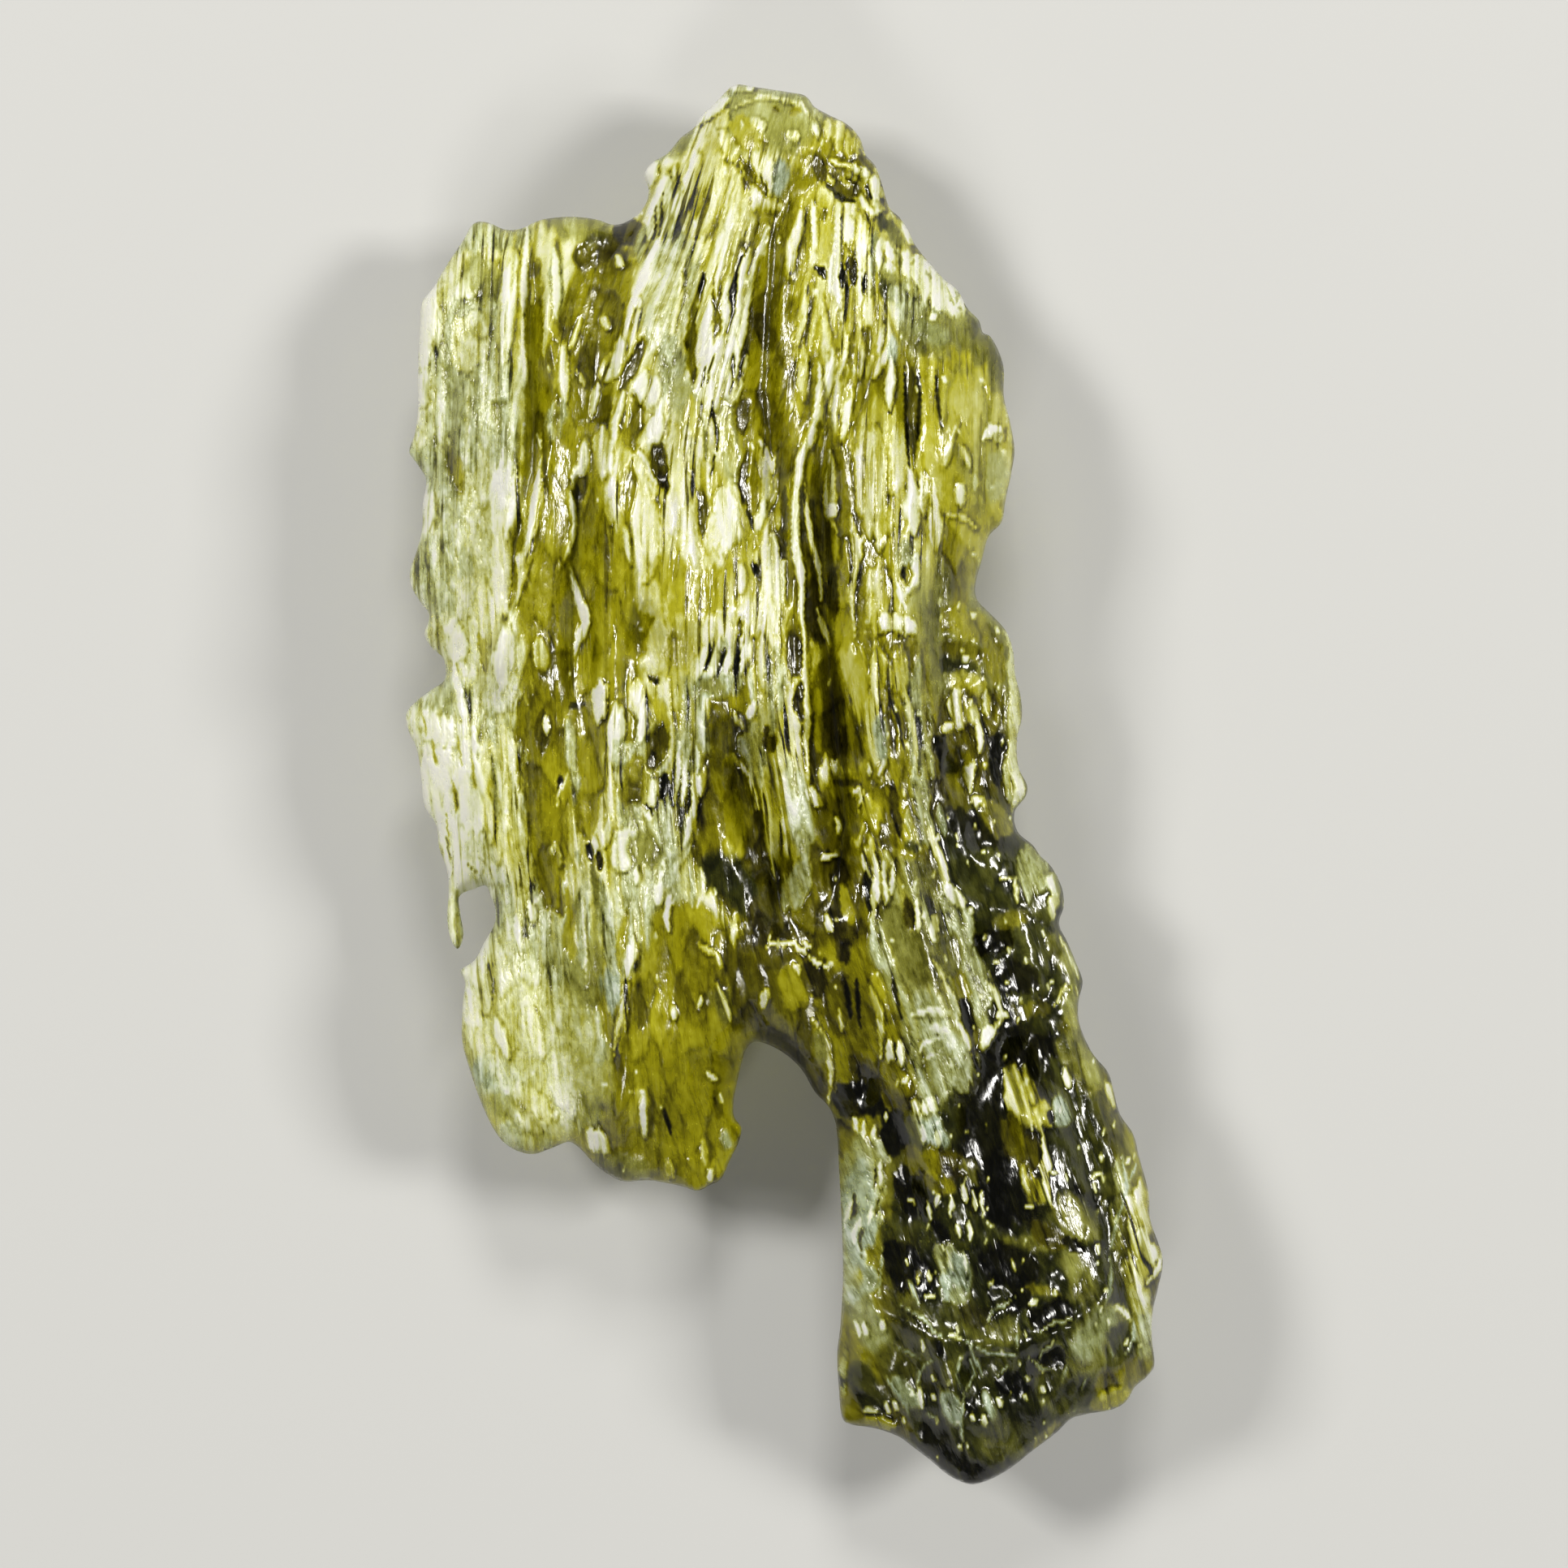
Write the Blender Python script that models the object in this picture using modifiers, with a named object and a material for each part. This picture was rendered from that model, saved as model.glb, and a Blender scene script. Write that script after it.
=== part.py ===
"""A moldavite: one natural flake of olive glass, lying on its flatter side.

The flake is drawn in plan on its own grid, 50 units to the millimetre, with the middle of its box at
(0, 0). X runs across the flow of the glass and Y along it, with the narrow leg at -Y. Heights and
depths are real sizes. One outline, filled and thickened, gives the plate. The plate's upper and lower
skins are then carried to their heights by the crown, the ribs, the valleys and the pits.
"""

import bmesh
import bpy
import numpy as np

# Real sizes, in metres
LENGTH = 0.0347  # along the flow, from the tip to the end of the leg
RIM_HEIGHT = 0.0021  # of the thin edge above the surface that the flake lies on
RIM_WARP = 0.0005  # how far the edge rises and dips round the flake
EDGE_HALF = 0.00028  # half the thickness of the glass at its edge
CROWN = 0.0026  # rise of the upper side over the edge
KEEL = 0.0020  # drop of the lower side under the edge
FLUTE_TOP = 0.00034  # height of the long flutes on the upper side
FLUTE_BASE = 0.00026  # height of the long flutes on the lower side
SWELL = 0.00036  # height of the broad swellings on both sides

# Sizes on the drawing grid
DRAWN_LENGTH = 1734.0
UNIT = LENGTH / DRAWN_LENGTH  # metres for each drawing unit
PLATE_HALF = 9.0
GRAIN = 5.5  # size of the voxels that the plate is made of
CELL = 6.0  # size of the cells that the crown is spread on
MARGIN = 4  # empty cells round the flake
SHOULDER = 44.0  # how fast the glass thickens near its edge
BELLY = 150.0  # how fast it thickens further in
FLUTE = (31.0, 230.0)  # width and length of one flute
SWELLING = (170.0, 300.0)  # width and length of one swelling
WARP = (420.0, 520.0)  # the same for the rise and dip of the edge
LEG_DRIFT = 0.30  # how far the flow leans to +X on its way down the leg
BODY_DRIFT = 0.07  # the same down the left of the body
TIP_DRIFT = 0.32  # how far the flow leans to +X on its way up to the tip
CREST = 1.35  # power of a rib's profile, the lower the sharper
TRIANGLES = 9500
LEVEL = 0.00002  # lower points this close to the ground belong to the resting spot, in metres

GLASS_COLOUR = (0.42, 0.40, 0.07, 1.0)
GLASS_ROUGHNESS = 0.12
GLASS_IOR = 1.49

# The edge of the flake seen from above, clockwise from its tip
OUTLINE = (
    (-69, 861), (-58, 867), (-31, 863), (2, 858), (26, 853), (38, 839), (56, 829), (79, 817),
    (94, 800), (101, 780), (113, 766), (121, 744), (130, 715), (142, 703), (153, 687), (161, 670),
    (175, 651), (197, 626), (214, 612), (227, 589), (241, 574), (246, 559), (256, 553), (267, 532),
    (272, 511), (272, 479), (280, 446), (285, 414), (281, 384), (274, 351), (269, 324), (253, 306),
    (245, 278), (237, 248), (239, 228), (256, 210), (274, 190), (283, 166), (286, 136), (293, 106),
    (294, 81), (288, 54), (290, 21), (300, 0), (299, -15), (285, -35), (289, -59), (307, -75),
    (317, -89), (331, -103), (343, -127), (346, -150), (340, -173), (351, -197), (360, -219),
    (369, -244), (364, -268), (365, -296), (380, -331), (400, -356), (407, -379), (415, -408),
    (431, -432), (439, -462), (450, -504), (452, -537), (463, -569), (468, -592), (462, -624),
    (455, -656), (455, -689), (458, -718), (449, -733), (434, -746), (423, -764), (406, -774),
    (374, -780), (355, -786), (337, -803), (310, -824), (281, -847), (254, -862), (230, -867),
    (204, -856), (181, -837), (160, -821), (142, -808), (114, -798), (84, -793), (72, -784),
    (68, -749), (66, -706), (70, -669), (73, -614), (72, -554), (68, -474), (65, -426), (56, -401),
    (38, -381), (22, -354), (2, -335), (-22, -322), (-38, -320), (-48, -331), (-55, -356),
    (-62, -390), (-62, -412), (-53, -426), (-56, -443), (-67, -466), (-78, -489), (-92, -497),
    (-108, -504), (-128, -498), (-166, -491), (-198, -492), (-218, -483), (-236, -469),
    (-253, -451), (-267, -443), (-286, -450), (-312, -458), (-338, -450), (-356, -432),
    (-374, -396), (-388, -356), (-398, -319), (-398, -279), (-395, -246), (-400, -231),
    (-383, -218), (-371, -196), (-359, -175), (-357, -156), (-363, -139), (-369, -126),
    (-384, -130), (-402, -139), (-401, -161), (-397, -186), (-404, -204), (-413, -191),
    (-417, -164), (-415, -129), (-418, -104), (-427, -79), (-430, -52), (-445, -27), (-449, 6),
    (-454, 41), (-465, 66), (-468, 86), (-456, 102), (-436, 117), (-420, 130), (-421, 154),
    (-437, 170), (-445, 186), (-439, 209), (-450, 225), (-461, 244), (-463, 264), (-455, 288),
    (-448, 316), (-447, 348), (-443, 376), (-454, 396), (-464, 412), (-457, 434), (-453, 466),
    (-453, 516), (-451, 561), (-448, 596), (-434, 615), (-417, 644), (-399, 671), (-385, 694),
    (-368, 696), (-346, 687), (-326, 688), (-301, 699), (-266, 703), (-234, 700), (-209, 693),
    (-185, 703), (-171, 720), (-168, 738), (-173, 756), (-162, 771), (-144, 782), (-128, 801),
    (-111, 814), (-102, 828), (-84, 845),
)

CURVE_STEPS = 4  # points on each stretch of the smooth edge

# Ribs of the upper side: half width, height in millimetres, and the line of the crest
RIBS = (
    (15, 0.50, ((-336, 666), (-334, 486), (-321, 346), (-346, 206), (-356, 116))),
    (14, 0.55, ((-283, 686), (-286, 546), (-276, 486), (-286, 406), (-301, 326), (-321, 226),
                (-356, 116))),
    (13, 0.60, ((64, 536), (44, 476), (19, 396), (14, 326), (14, 206), (19, 116), (29, 66))),
    (52, 0.55, ((-61, 836), (-96, 716), (-130, 566), (-150, 406), (-140, 266), (-120, 160))),
    (15, 0.40, ((74, 726), (77, 600), (79, 486))),
    (13, 0.38, ((119, 666), (126, 570), (129, 486))),
    (13, 0.35, ((-76, 600), (-92, 480), (-100, 390))),
    (42, 0.55, ((124, 466), (119, 266), (109, 116), (124, -14))),
    (20, 0.55, ((-96, 96), (-106, 6), (-146, -104), (-176, -204), (-191, -294), (-201, -434))),
    (24, 0.42, ((-26, 266), (-16, 116), (-1, 6), (9, -94))),
    (26, 0.45, ((-206, 416), (-186, 286), (-206, 136), (-196, 16), (-226, -104), (-236, -234))),
    (22, 0.45, ((94, -404), (98, -520), (92, -674), (104, -760))),
    (18, 0.42, ((414, -414), (434, -500), (440, -594), (426, -734))),
    (15, 0.40, ((74, -624), (184, -674), (284, -684), (364, -644), (420, -600))),
    (28, 0.50, ((124, -24), (154, -134), (184, -234), (209, -314), (194, -434))),
    (34, 0.30, ((-406, 66), (-376, -114), (-366, -284))),
    (16, 0.35, ((286, -464), (304, -540), (344, -640), (360, -720))),
    (13, 0.35, ((184, -674), (214, -740), (254, -800))),
)

# Valleys of the upper side: half width, depth in millimetres, and the line of the floor
VALLEYS = (
    (15, 0.60, ((-311, 656), (-311, 486), (-305, 390), (-326, 286), (-338, 200))),
    (20, 0.50, ((-316, 106), (-318, -34), (-291, -164))),
    (34, 0.50, ((-226, 676), (-231, 496), (-238, 420))),
    (28, 0.50, ((-256, 266), (-261, 86))),
    (20, 0.70, ((24, 766), (-16, 666), (-24, 486), (-14, 330))),
    (18, 0.85, ((44, 420), (49, 300), (54, 166), (64, 60), (74, -44), (60, -150))),
    (38, 0.60, ((-66, 66), (-46, -20), (-26, -94), (4, -184))),
    (11, 0.45, ((-108, 600), (-116, 480))),
    (9, 0.40, ((150, 520), (154, 366))),
    (38, 0.55, ((224, -104), (274, -204), (304, -314), (284, -384))),
    (28, 0.50, ((214, -484), (230, -560), (214, -634))),
    (20, 0.45, ((150, -466), (154, -560), (140, -640))),
    (24, 0.45, ((200, 170), (214, 60), (230, -40))),
)

# Pits of the upper side: place, radius and depth in millimetres
PITS = (
    (-186, 681, 24, 0.55), (84, 731, 24, 0.60), (254, -194, 28, 0.55), (288, -339, 26, 0.55),
    (414, -684, 20, 0.45), (-151, 376, 22, 0.50), (-176, 186, 24, 0.50), (-6, -119, 26, 0.55),
    (224, 146, 20, 0.45), (244, 96, 18, 0.45), (214, 16, 20, 0.50), (239, -64, 18, 0.45),
    (154, -714, 22, 0.45), (234, -734, 22, 0.45), (314, -734, 20, 0.40), (264, -634, 20, 0.40),
    (324, -584, 22, 0.40), (324, -254, 18, 0.40), (374, -324, 18, 0.35), (-106, -344, 16, 0.25),
    (336, -764, 16, 0.35), (174, -790, 18, 0.40), (170, -354, 18, 0.40), (100, -370, 16, 0.45),
)

# Lumps of the upper side: place, radius and height in millimetres
LUMPS = (
    (-6, 751, 18, 0.25), (-46, 826, 28, 0.25), (34, 816, 26, 0.25), (-326, -424, 40, 0.35),
    (-126, -334, 62, 0.50), (309, -399, 30, 0.45), (329, -134, 28, 0.30), (-441, 221, 22, 0.25),
    (380, -690, 34, 0.30), (224, 426, 46, 0.35), (144, 156, 28, 0.25), (-366, 446, 40, 0.25),
    (184, 606, 30, 0.25), (264, -764, 34, 0.30), (-56, -214, 34, 0.25), (230, -334, 26, 0.35),
)

# Ribs and valleys of the lower side, which no view shows: half width, height, line
BASE_RIBS = (
    (34, 0.50, ((-330, 560), (-350, 300), (-330, 40), (-300, -250))),
    (26, 0.45, ((120, 620), (160, 360), (190, 90), (240, -160))),
    (28, 0.45, ((150, -360), (230, -520), (300, -700))),
    (-26, 0.60, ((-200, 600), (-230, 300), (-240, 20), (-200, -300))),
    (-24, 0.60, ((30, 700), (60, 420), (70, 150), (130, -120))),
    (-26, 0.50, ((330, -240), (360, -420), (380, -600))),
    (-20, 0.50, ((100, -500), (150, -640), (190, -760))),
)
BASE_LUMPS = ((-30, 60, 140, 0.90),)
BASE_PITS = (
    (-380, 420, 26, 0.40), (-300, 180, 22, 0.45), (-390, 0, 24, 0.40), (-290, -120, 22, 0.45),
    (-320, -330, 26, 0.45), (-180, -400, 24, 0.40), (200, 500, 24, 0.45), (210, 250, 22, 0.40),
    (240, 0, 24, 0.45), (280, -200, 24, 0.45), (200, -420, 24, 0.45), (270, -600, 26, 0.45),
    (380, -520, 22, 0.40), (180, -700, 22, 0.40), (-20, 780, 24, 0.40), (-240, 620, 24, 0.40),
)


def smooth_outline():
    """The edge as a smooth closed line through its points, in drawing units."""
    ring = np.array(OUTLINE, float)
    before = np.roll(ring, 1, 0)
    after = np.roll(ring, -1, 0)
    far = np.roll(ring, -2, 0)
    stretches = []
    for t in np.arange(CURVE_STEPS) / CURVE_STEPS:
        square = (2 * before - 5 * ring + 4 * after - far) * t**2
        cube = (3 * ring - before - 3 * after + far) * t**3
        stretches.append(0.5 * (2 * ring + (after - before) * t + square + cube))
    return np.stack(stretches, 1).reshape(-1, 2)


def inside(points, ring):
    """Whether each point lies inside the closed line."""
    ends = np.roll(ring, -1, 0)
    result = np.zeros(len(points), bool)
    for (ax, ay), (bx, by) in zip(ring, ends):
        if ay == by:
            continue
        crosses = (ay > points[:, 1]) != (by > points[:, 1])
        result ^= crosses & (points[:, 0] < (bx - ax) * (points[:, 1] - ay) / (by - ay) + ax)
    return result


def sample(field, corner, points):
    """Values of a field of cells at the points, blended between cells."""
    place = (points - corner) / CELL
    low = np.clip(np.floor(place).astype(int), 0, np.array(field.shape) - 2)
    part = np.clip(place - low, 0.0, 1.0)
    i, j = low.T
    u, v = part.T
    near = field[i, j] * (1 - v) + field[i, j + 1] * v
    past = field[i + 1, j] * (1 - v) + field[i + 1, j + 1] * v
    return near * (1 - u) + past * u


def spread(mask, reach):
    """A swelling that is 0 outside the mask and nears 1 further in than the reach."""
    pull = (CELL / reach) ** 2
    height = mask.astype(float)
    for _ in range(int(6 * reach / CELL) ** 2 // 12 + 200):
        around = np.zeros_like(height)
        around[1:-1, 1:-1] = height[:-2, 1:-1] + height[2:, 1:-1] + height[1:-1, :-2] + height[1:-1, 2:]
        height = np.where(mask, (around + pull) / (4 + pull), 0.0)
    return height


def ripple(points, size, seed):
    """Smooth seeded noise from -1 to 1, with cells of the given width and length."""
    place = points / np.array(size) + 64.0
    low = np.floor(place).astype(int)
    part = place - low
    part = part * part * (3 - 2 * part)
    table = np.random.default_rng(seed).uniform(-1.0, 1.0, (256, 256))
    i, j = low.T
    u, v = part.T
    near = table[i, j] * (1 - v) + table[i, j + 1] * v
    past = table[i + 1, j] * (1 - v) + table[i + 1, j + 1] * v
    return near * (1 - u) + past * u


def flow(points):
    """The points in the flow's own grid, where the flutes run straight along Y."""
    x, y = points.T
    right = 1 / (1 + np.exp(-(x - 20) / 60))
    lean = LEG_DRIFT * right + BODY_DRIFT * (1 - right)
    down = 60 * np.log1p(np.exp((60 - y) / 60))
    up = 50 * np.log1p(np.exp(np.clip((y - 430) / 50, -30, 30)))
    return np.column_stack([x - lean * down - TIP_DRIFT * (1 - right) * up, y])


def line_distance(points, line):
    """Distance of each point from a line through several places, and how far from its two ends."""
    best = np.full(len(points), 1e9)
    fade = np.ones(len(points))
    last = len(line) - 2
    for k, (start, stop) in enumerate(zip(line[:-1], line[1:])):
        start = np.array(start, float)
        run = np.array(stop, float) - start
        share = (points - start) @ run / (run @ run)
        gap = np.hypot(*(points - start - np.clip(share, 0, 1)[:, None] * run).T)
        ease = np.ones(len(points))
        if k == 0:
            ease = np.clip(0.35 + share * 2.0, 0, 1)
        if k == last:
            ease = np.minimum(ease, np.clip(0.35 + (1 - share) * 2.0, 0, 1))
        nearer = gap < best
        best = np.where(nearer, gap, best)
        fade = np.where(nearer, ease, fade)
    return best, fade


def relief(points, lines, pits, lumps):
    """Height of all the ribs, valleys, pits and lumps at the points, in metres."""
    height = np.zeros(len(points))
    for half, rise, line in lines:
        gap, fade = line_distance(points, line)
        sign = 1.0 if half > 0 else -1.0
        height += sign * rise * 0.001 * fade * np.exp(-((gap / abs(half)) ** CREST))
    for x, y, radius, depth in pits:
        gap = np.hypot((points[:, 0] - x) * 1.25, (points[:, 1] - y) * 0.85)
        height -= depth * 0.001 * np.exp(-((gap / radius) ** 3))
    for x, y, radius, rise in lumps:
        gap = np.hypot(points[:, 0] - x, (points[:, 1] - y) * 0.8)
        height += rise * 0.001 * np.exp(-((gap / radius) ** 2))
    return height


def make_plate(ring):
    """The filled and thickened outline, remade with even faces, in drawing units."""
    curve = bpy.data.curves.new("outline", "CURVE")
    curve.dimensions = "2D"
    curve.fill_mode = "BOTH"
    curve.extrude = PLATE_HALF
    spline = curve.splines.new("POLY")
    spline.points.add(len(ring) - 1)
    for point, (x, y) in zip(spline.points, ring):
        point.co = (x, y, 0.0, 1.0)
    spline.use_cyclic_u = True
    drawn = bpy.data.objects.new("outline", curve)
    bpy.context.scene.collection.objects.link(drawn)
    bpy.context.view_layer.update()
    mesh = bpy.data.meshes.new_from_object(drawn.evaluated_get(bpy.context.evaluated_depsgraph_get()))
    bpy.data.objects.remove(drawn)
    bpy.data.curves.remove(curve)
    plate = bpy.data.objects.new("moldavite", mesh)
    bpy.context.scene.collection.objects.link(plate)
    weld = plate.modifiers.new("weld", "WELD")
    weld.merge_threshold = 0.0001
    remesh = plate.modifiers.new("remesh", "REMESH")
    remesh.mode = "VOXEL"
    remesh.voxel_size = GRAIN
    freeze(plate)
    return plate


def freeze(thing):
    """Puts the result of an object's modifiers into its mesh."""
    bpy.context.view_layer.update()
    graph = bpy.context.evaluated_depsgraph_get()
    mesh = bpy.data.meshes.new_from_object(thing.evaluated_get(graph))
    mesh.name = thing.name
    thing.modifiers.clear()
    old = thing.data
    thing.data = mesh
    bpy.data.meshes.remove(old)


def crown_fields(ring):
    """The steep shoulder and the slow belly of the flake, on cells, and the corner of the cells."""
    corner = ring.min(0) - MARGIN * CELL
    count = np.ceil((ring.max(0) - corner) / CELL).astype(int) + MARGIN
    across, along = np.meshgrid(np.arange(count[0]), np.arange(count[1]), indexing="ij")
    places = np.column_stack([across.ravel(), along.ravel()]) * CELL + corner
    mask = inside(places, ring).reshape(count)
    return spread(mask, SHOULDER), spread(mask, BELLY), corner


def carry_skins(plate, ring):
    """Moves every point of the plate to its height on the upper or the lower side."""
    mesh = plate.data
    places = np.empty(len(mesh.vertices) * 3)
    mesh.vertices.foreach_get("co", places)
    places = places.reshape(-1, 3)
    flat = places[:, :2]
    side = np.clip(places[:, 2] / PLATE_HALF, -1.0, 1.0)
    shoulder_cells, belly_cells, corner = crown_fields(ring)
    shoulder = sample(shoulder_cells, corner, flat)
    belly = sample(belly_cells, corner, flat)
    stream = flow(flat)
    middle = RIM_HEIGHT + RIM_WARP * ripple(flat, WARP, 5)

    upper = CROWN * (0.30 * shoulder + 0.70 * belly)
    upper += shoulder * relief(flat, RIBS, PITS, LUMPS)
    upper += shoulder * relief(flat, [(-half, depth, line) for half, depth, line in VALLEYS], (), ())
    upper += shoulder * (FLUTE_TOP * ripple(stream, FLUTE, 11) + SWELL * ripple(stream, SWELLING, 12))
    upper = np.maximum(upper, 0.0) + EDGE_HALF

    lower = KEEL * (0.25 * shoulder + 0.75 * belly)
    lower += shoulder * relief(flat, BASE_RIBS, BASE_PITS, BASE_LUMPS)
    lower += shoulder * (FLUTE_BASE * ripple(stream, FLUTE, 21) + SWELL * ripple(stream, SWELLING, 22))
    lower = np.maximum(lower, 0.0) + EDGE_HALF

    height = middle + np.where(side > 0, side * upper, side * lower)
    height = np.where((side < 0) & (height < LEVEL), 0.0, height)
    places = np.column_stack([flat * UNIT, height])
    mesh.vertices.foreach_set("co", places.ravel())
    mesh.update()


def thin_out(plate):
    """Brings the flake down to its number of triangles."""
    mesh = bmesh.new()
    mesh.from_mesh(plate.data)
    bmesh.ops.triangulate(mesh, faces=mesh.faces[:])
    count = len(mesh.faces)
    mesh.to_mesh(plate.data)
    mesh.free()
    decimate = plate.modifiers.new("decimate", "DECIMATE")
    decimate.decimate_type = "COLLAPSE"
    decimate.ratio = TRIANGLES / count
    decimate.use_collapse_triangulate = True
    freeze(plate)


def glass():
    """The olive glass."""
    material = bpy.data.materials.new("olive_glass")
    material.use_nodes = True
    shader = material.node_tree.nodes["Principled BSDF"]
    shader.inputs["Base Color"].default_value = GLASS_COLOUR
    shader.inputs["Roughness"].default_value = GLASS_ROUGHNESS
    shader.inputs["IOR"].default_value = GLASS_IOR
    shader.inputs["Transmission Weight"].default_value = 1.0
    return material


def main():
    """Builds the moldavite."""
    for thing in list(bpy.data.objects):
        bpy.data.objects.remove(thing)
    ring = smooth_outline()
    plate = make_plate(ring)
    carry_skins(plate, ring)
    thin_out(plate)
    ground = min(vertex.co.z for vertex in plate.data.vertices)
    for vertex in plate.data.vertices:
        vertex.co.z -= ground
        if vertex.co.z < LEVEL:
            vertex.co.z = 0.0
    plate.data.materials.clear()
    plate.data.materials.append(glass())
    for face in plate.data.polygons:
        face.material_index = 0
        face.use_smooth = False
    parts = bpy.data.collections.new("moldavite")
    bpy.context.scene.collection.children.link(parts)
    parts.objects.link(plate)
    bpy.context.scene.collection.objects.unlink(plate)


main()
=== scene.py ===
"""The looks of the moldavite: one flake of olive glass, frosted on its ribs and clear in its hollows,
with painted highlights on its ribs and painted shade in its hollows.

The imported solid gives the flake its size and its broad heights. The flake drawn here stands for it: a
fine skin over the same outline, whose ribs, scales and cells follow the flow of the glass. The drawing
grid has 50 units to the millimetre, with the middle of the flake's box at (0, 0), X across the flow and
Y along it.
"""

import logging
from dataclasses import astuple, dataclass, field, fields
from enum import Enum
from typing import ClassVar

import bmesh
import bpy
import numpy as np
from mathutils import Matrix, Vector
from mathutils.bvhtree import BVHTree
from mathutils.geometry import delaunay_2d_cdt


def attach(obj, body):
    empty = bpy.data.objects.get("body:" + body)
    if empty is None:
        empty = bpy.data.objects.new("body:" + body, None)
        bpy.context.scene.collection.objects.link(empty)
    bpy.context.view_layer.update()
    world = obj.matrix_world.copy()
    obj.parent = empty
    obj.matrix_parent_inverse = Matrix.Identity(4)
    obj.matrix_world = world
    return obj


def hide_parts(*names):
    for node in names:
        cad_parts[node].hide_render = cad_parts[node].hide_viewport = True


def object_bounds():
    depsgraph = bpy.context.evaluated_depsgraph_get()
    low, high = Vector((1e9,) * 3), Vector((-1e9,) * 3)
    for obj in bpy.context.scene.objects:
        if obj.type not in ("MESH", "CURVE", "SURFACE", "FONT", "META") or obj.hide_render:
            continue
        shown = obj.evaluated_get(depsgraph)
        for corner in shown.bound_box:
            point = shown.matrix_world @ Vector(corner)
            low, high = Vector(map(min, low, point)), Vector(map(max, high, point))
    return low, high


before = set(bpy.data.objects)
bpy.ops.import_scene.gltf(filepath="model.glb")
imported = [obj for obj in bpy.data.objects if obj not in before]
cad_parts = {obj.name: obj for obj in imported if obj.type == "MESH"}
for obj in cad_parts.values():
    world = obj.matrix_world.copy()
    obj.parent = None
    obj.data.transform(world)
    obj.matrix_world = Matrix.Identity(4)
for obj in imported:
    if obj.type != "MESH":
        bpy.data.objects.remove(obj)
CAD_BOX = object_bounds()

log = logging.getLogger("moldavite")
Socket = bpy.types.NodeSocket

NODE = "moldavite"
LENGTH = 0.0347  # of the flake along the flow, in metres
DRAWN_LENGTH = 1734.0
UNIT = LENGTH / DRAWN_LENGTH  # metres for each drawing unit
UNITS_PER_MM = 50.0  # rounded
MM = 0.001  # in metres
NO_LENGTH = 1e-6  # under which a line counts as a point
SHADOW_SIDE = (0.8, -0.6)  # the direction away from the painted light at the upper left, towards the painted shade
INSIDE_ONLY = 1  # of the Delaunay division, whose triangles then end at the edge

OUTLINE = (
    (-69, 861), (-58, 867), (-31, 863), (2, 858), (26, 853), (38, 839), (56, 829), (79, 817),
    (94, 800), (101, 780), (113, 766), (121, 744), (130, 715), (142, 703), (153, 687), (161, 670),
    (175, 651), (197, 626), (214, 612), (227, 589), (241, 574), (246, 559), (256, 553), (267, 532),
    (272, 511), (272, 479), (280, 446), (285, 414), (281, 384), (274, 351), (269, 324), (253, 306),
    (245, 278), (237, 248), (239, 228), (256, 210), (274, 190), (283, 166), (286, 136), (293, 106),
    (294, 81), (288, 54), (290, 21), (300, 0), (299, -15), (285, -35), (289, -59), (307, -75),
    (317, -89), (331, -103), (343, -127), (346, -150), (340, -173), (351, -197), (360, -219),
    (369, -244), (364, -268), (365, -296), (380, -331), (400, -356), (407, -379), (415, -408),
    (431, -432), (439, -462), (450, -504), (452, -537), (463, -569), (468, -592), (462, -624),
    (455, -656), (455, -689), (458, -718), (449, -733), (434, -746), (423, -764), (406, -774),
    (374, -780), (355, -786), (337, -803), (310, -824), (281, -847), (254, -862), (230, -867),
    (204, -856), (181, -837), (160, -821), (142, -808), (114, -798), (84, -793), (72, -784),
    (68, -749), (66, -706), (70, -669), (73, -614), (72, -554), (68, -474), (65, -426), (56, -401),
    (38, -381), (22, -354), (2, -335), (-22, -322), (-38, -320), (-48, -331), (-55, -356),
    (-62, -390), (-62, -412), (-53, -426), (-56, -443), (-67, -466), (-78, -489), (-92, -497),
    (-108, -504), (-128, -498), (-166, -491), (-198, -492), (-218, -483), (-236, -469),
    (-253, -451), (-267, -443), (-286, -450), (-312, -458), (-338, -450), (-356, -432),
    (-374, -396), (-388, -356), (-398, -319), (-398, -279), (-395, -246), (-400, -231),
    (-383, -218), (-371, -196), (-359, -175), (-357, -156), (-363, -139), (-369, -126),
    (-384, -130), (-402, -139), (-401, -161), (-397, -186), (-404, -204), (-413, -191),
    (-417, -164), (-415, -129), (-418, -104), (-427, -79), (-430, -52), (-445, -27), (-449, 6),
    (-454, 41), (-465, 66), (-468, 86), (-456, 102), (-436, 117), (-420, 130), (-421, 154),
    (-437, 170), (-445, 186), (-439, 209), (-450, 225), (-461, 244), (-463, 264), (-455, 288),
    (-448, 316), (-447, 348), (-443, 376), (-454, 396), (-464, 412), (-457, 434), (-453, 466),
    (-453, 516), (-451, 561), (-448, 596), (-434, 615), (-417, 644), (-399, 671), (-385, 694),
    (-368, 696), (-346, 687), (-326, 688), (-301, 699), (-266, 703), (-234, 700), (-209, 693),
    (-185, 703), (-171, 720), (-168, 738), (-173, 756), (-162, 771), (-144, 782), (-128, 801),
    (-111, 814), (-102, 828), (-84, 845),
)


class Tone(Enum):
    """The looks that one place of the glass can have."""

    WHITE = "white"
    CREAM = "cream"
    STRAW = "straw"
    SAGE = "sage"
    BLUE = "blue"
    HAZE = "haze"
    FROST = "frost"
    YELLOW = "yellow"
    MOSS = "moss"
    OLIVE = "olive"
    AMBER = "amber"
    GREEN = "green"
    BROWN = "brown"
    DARK = "dark"


WHITE, CREAM, STRAW, SAGE, BLUE, HAZE, FROST, YELLOW, MOSS, OLIVE, AMBER, GREEN, BROWN, DARK = Tone


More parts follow.
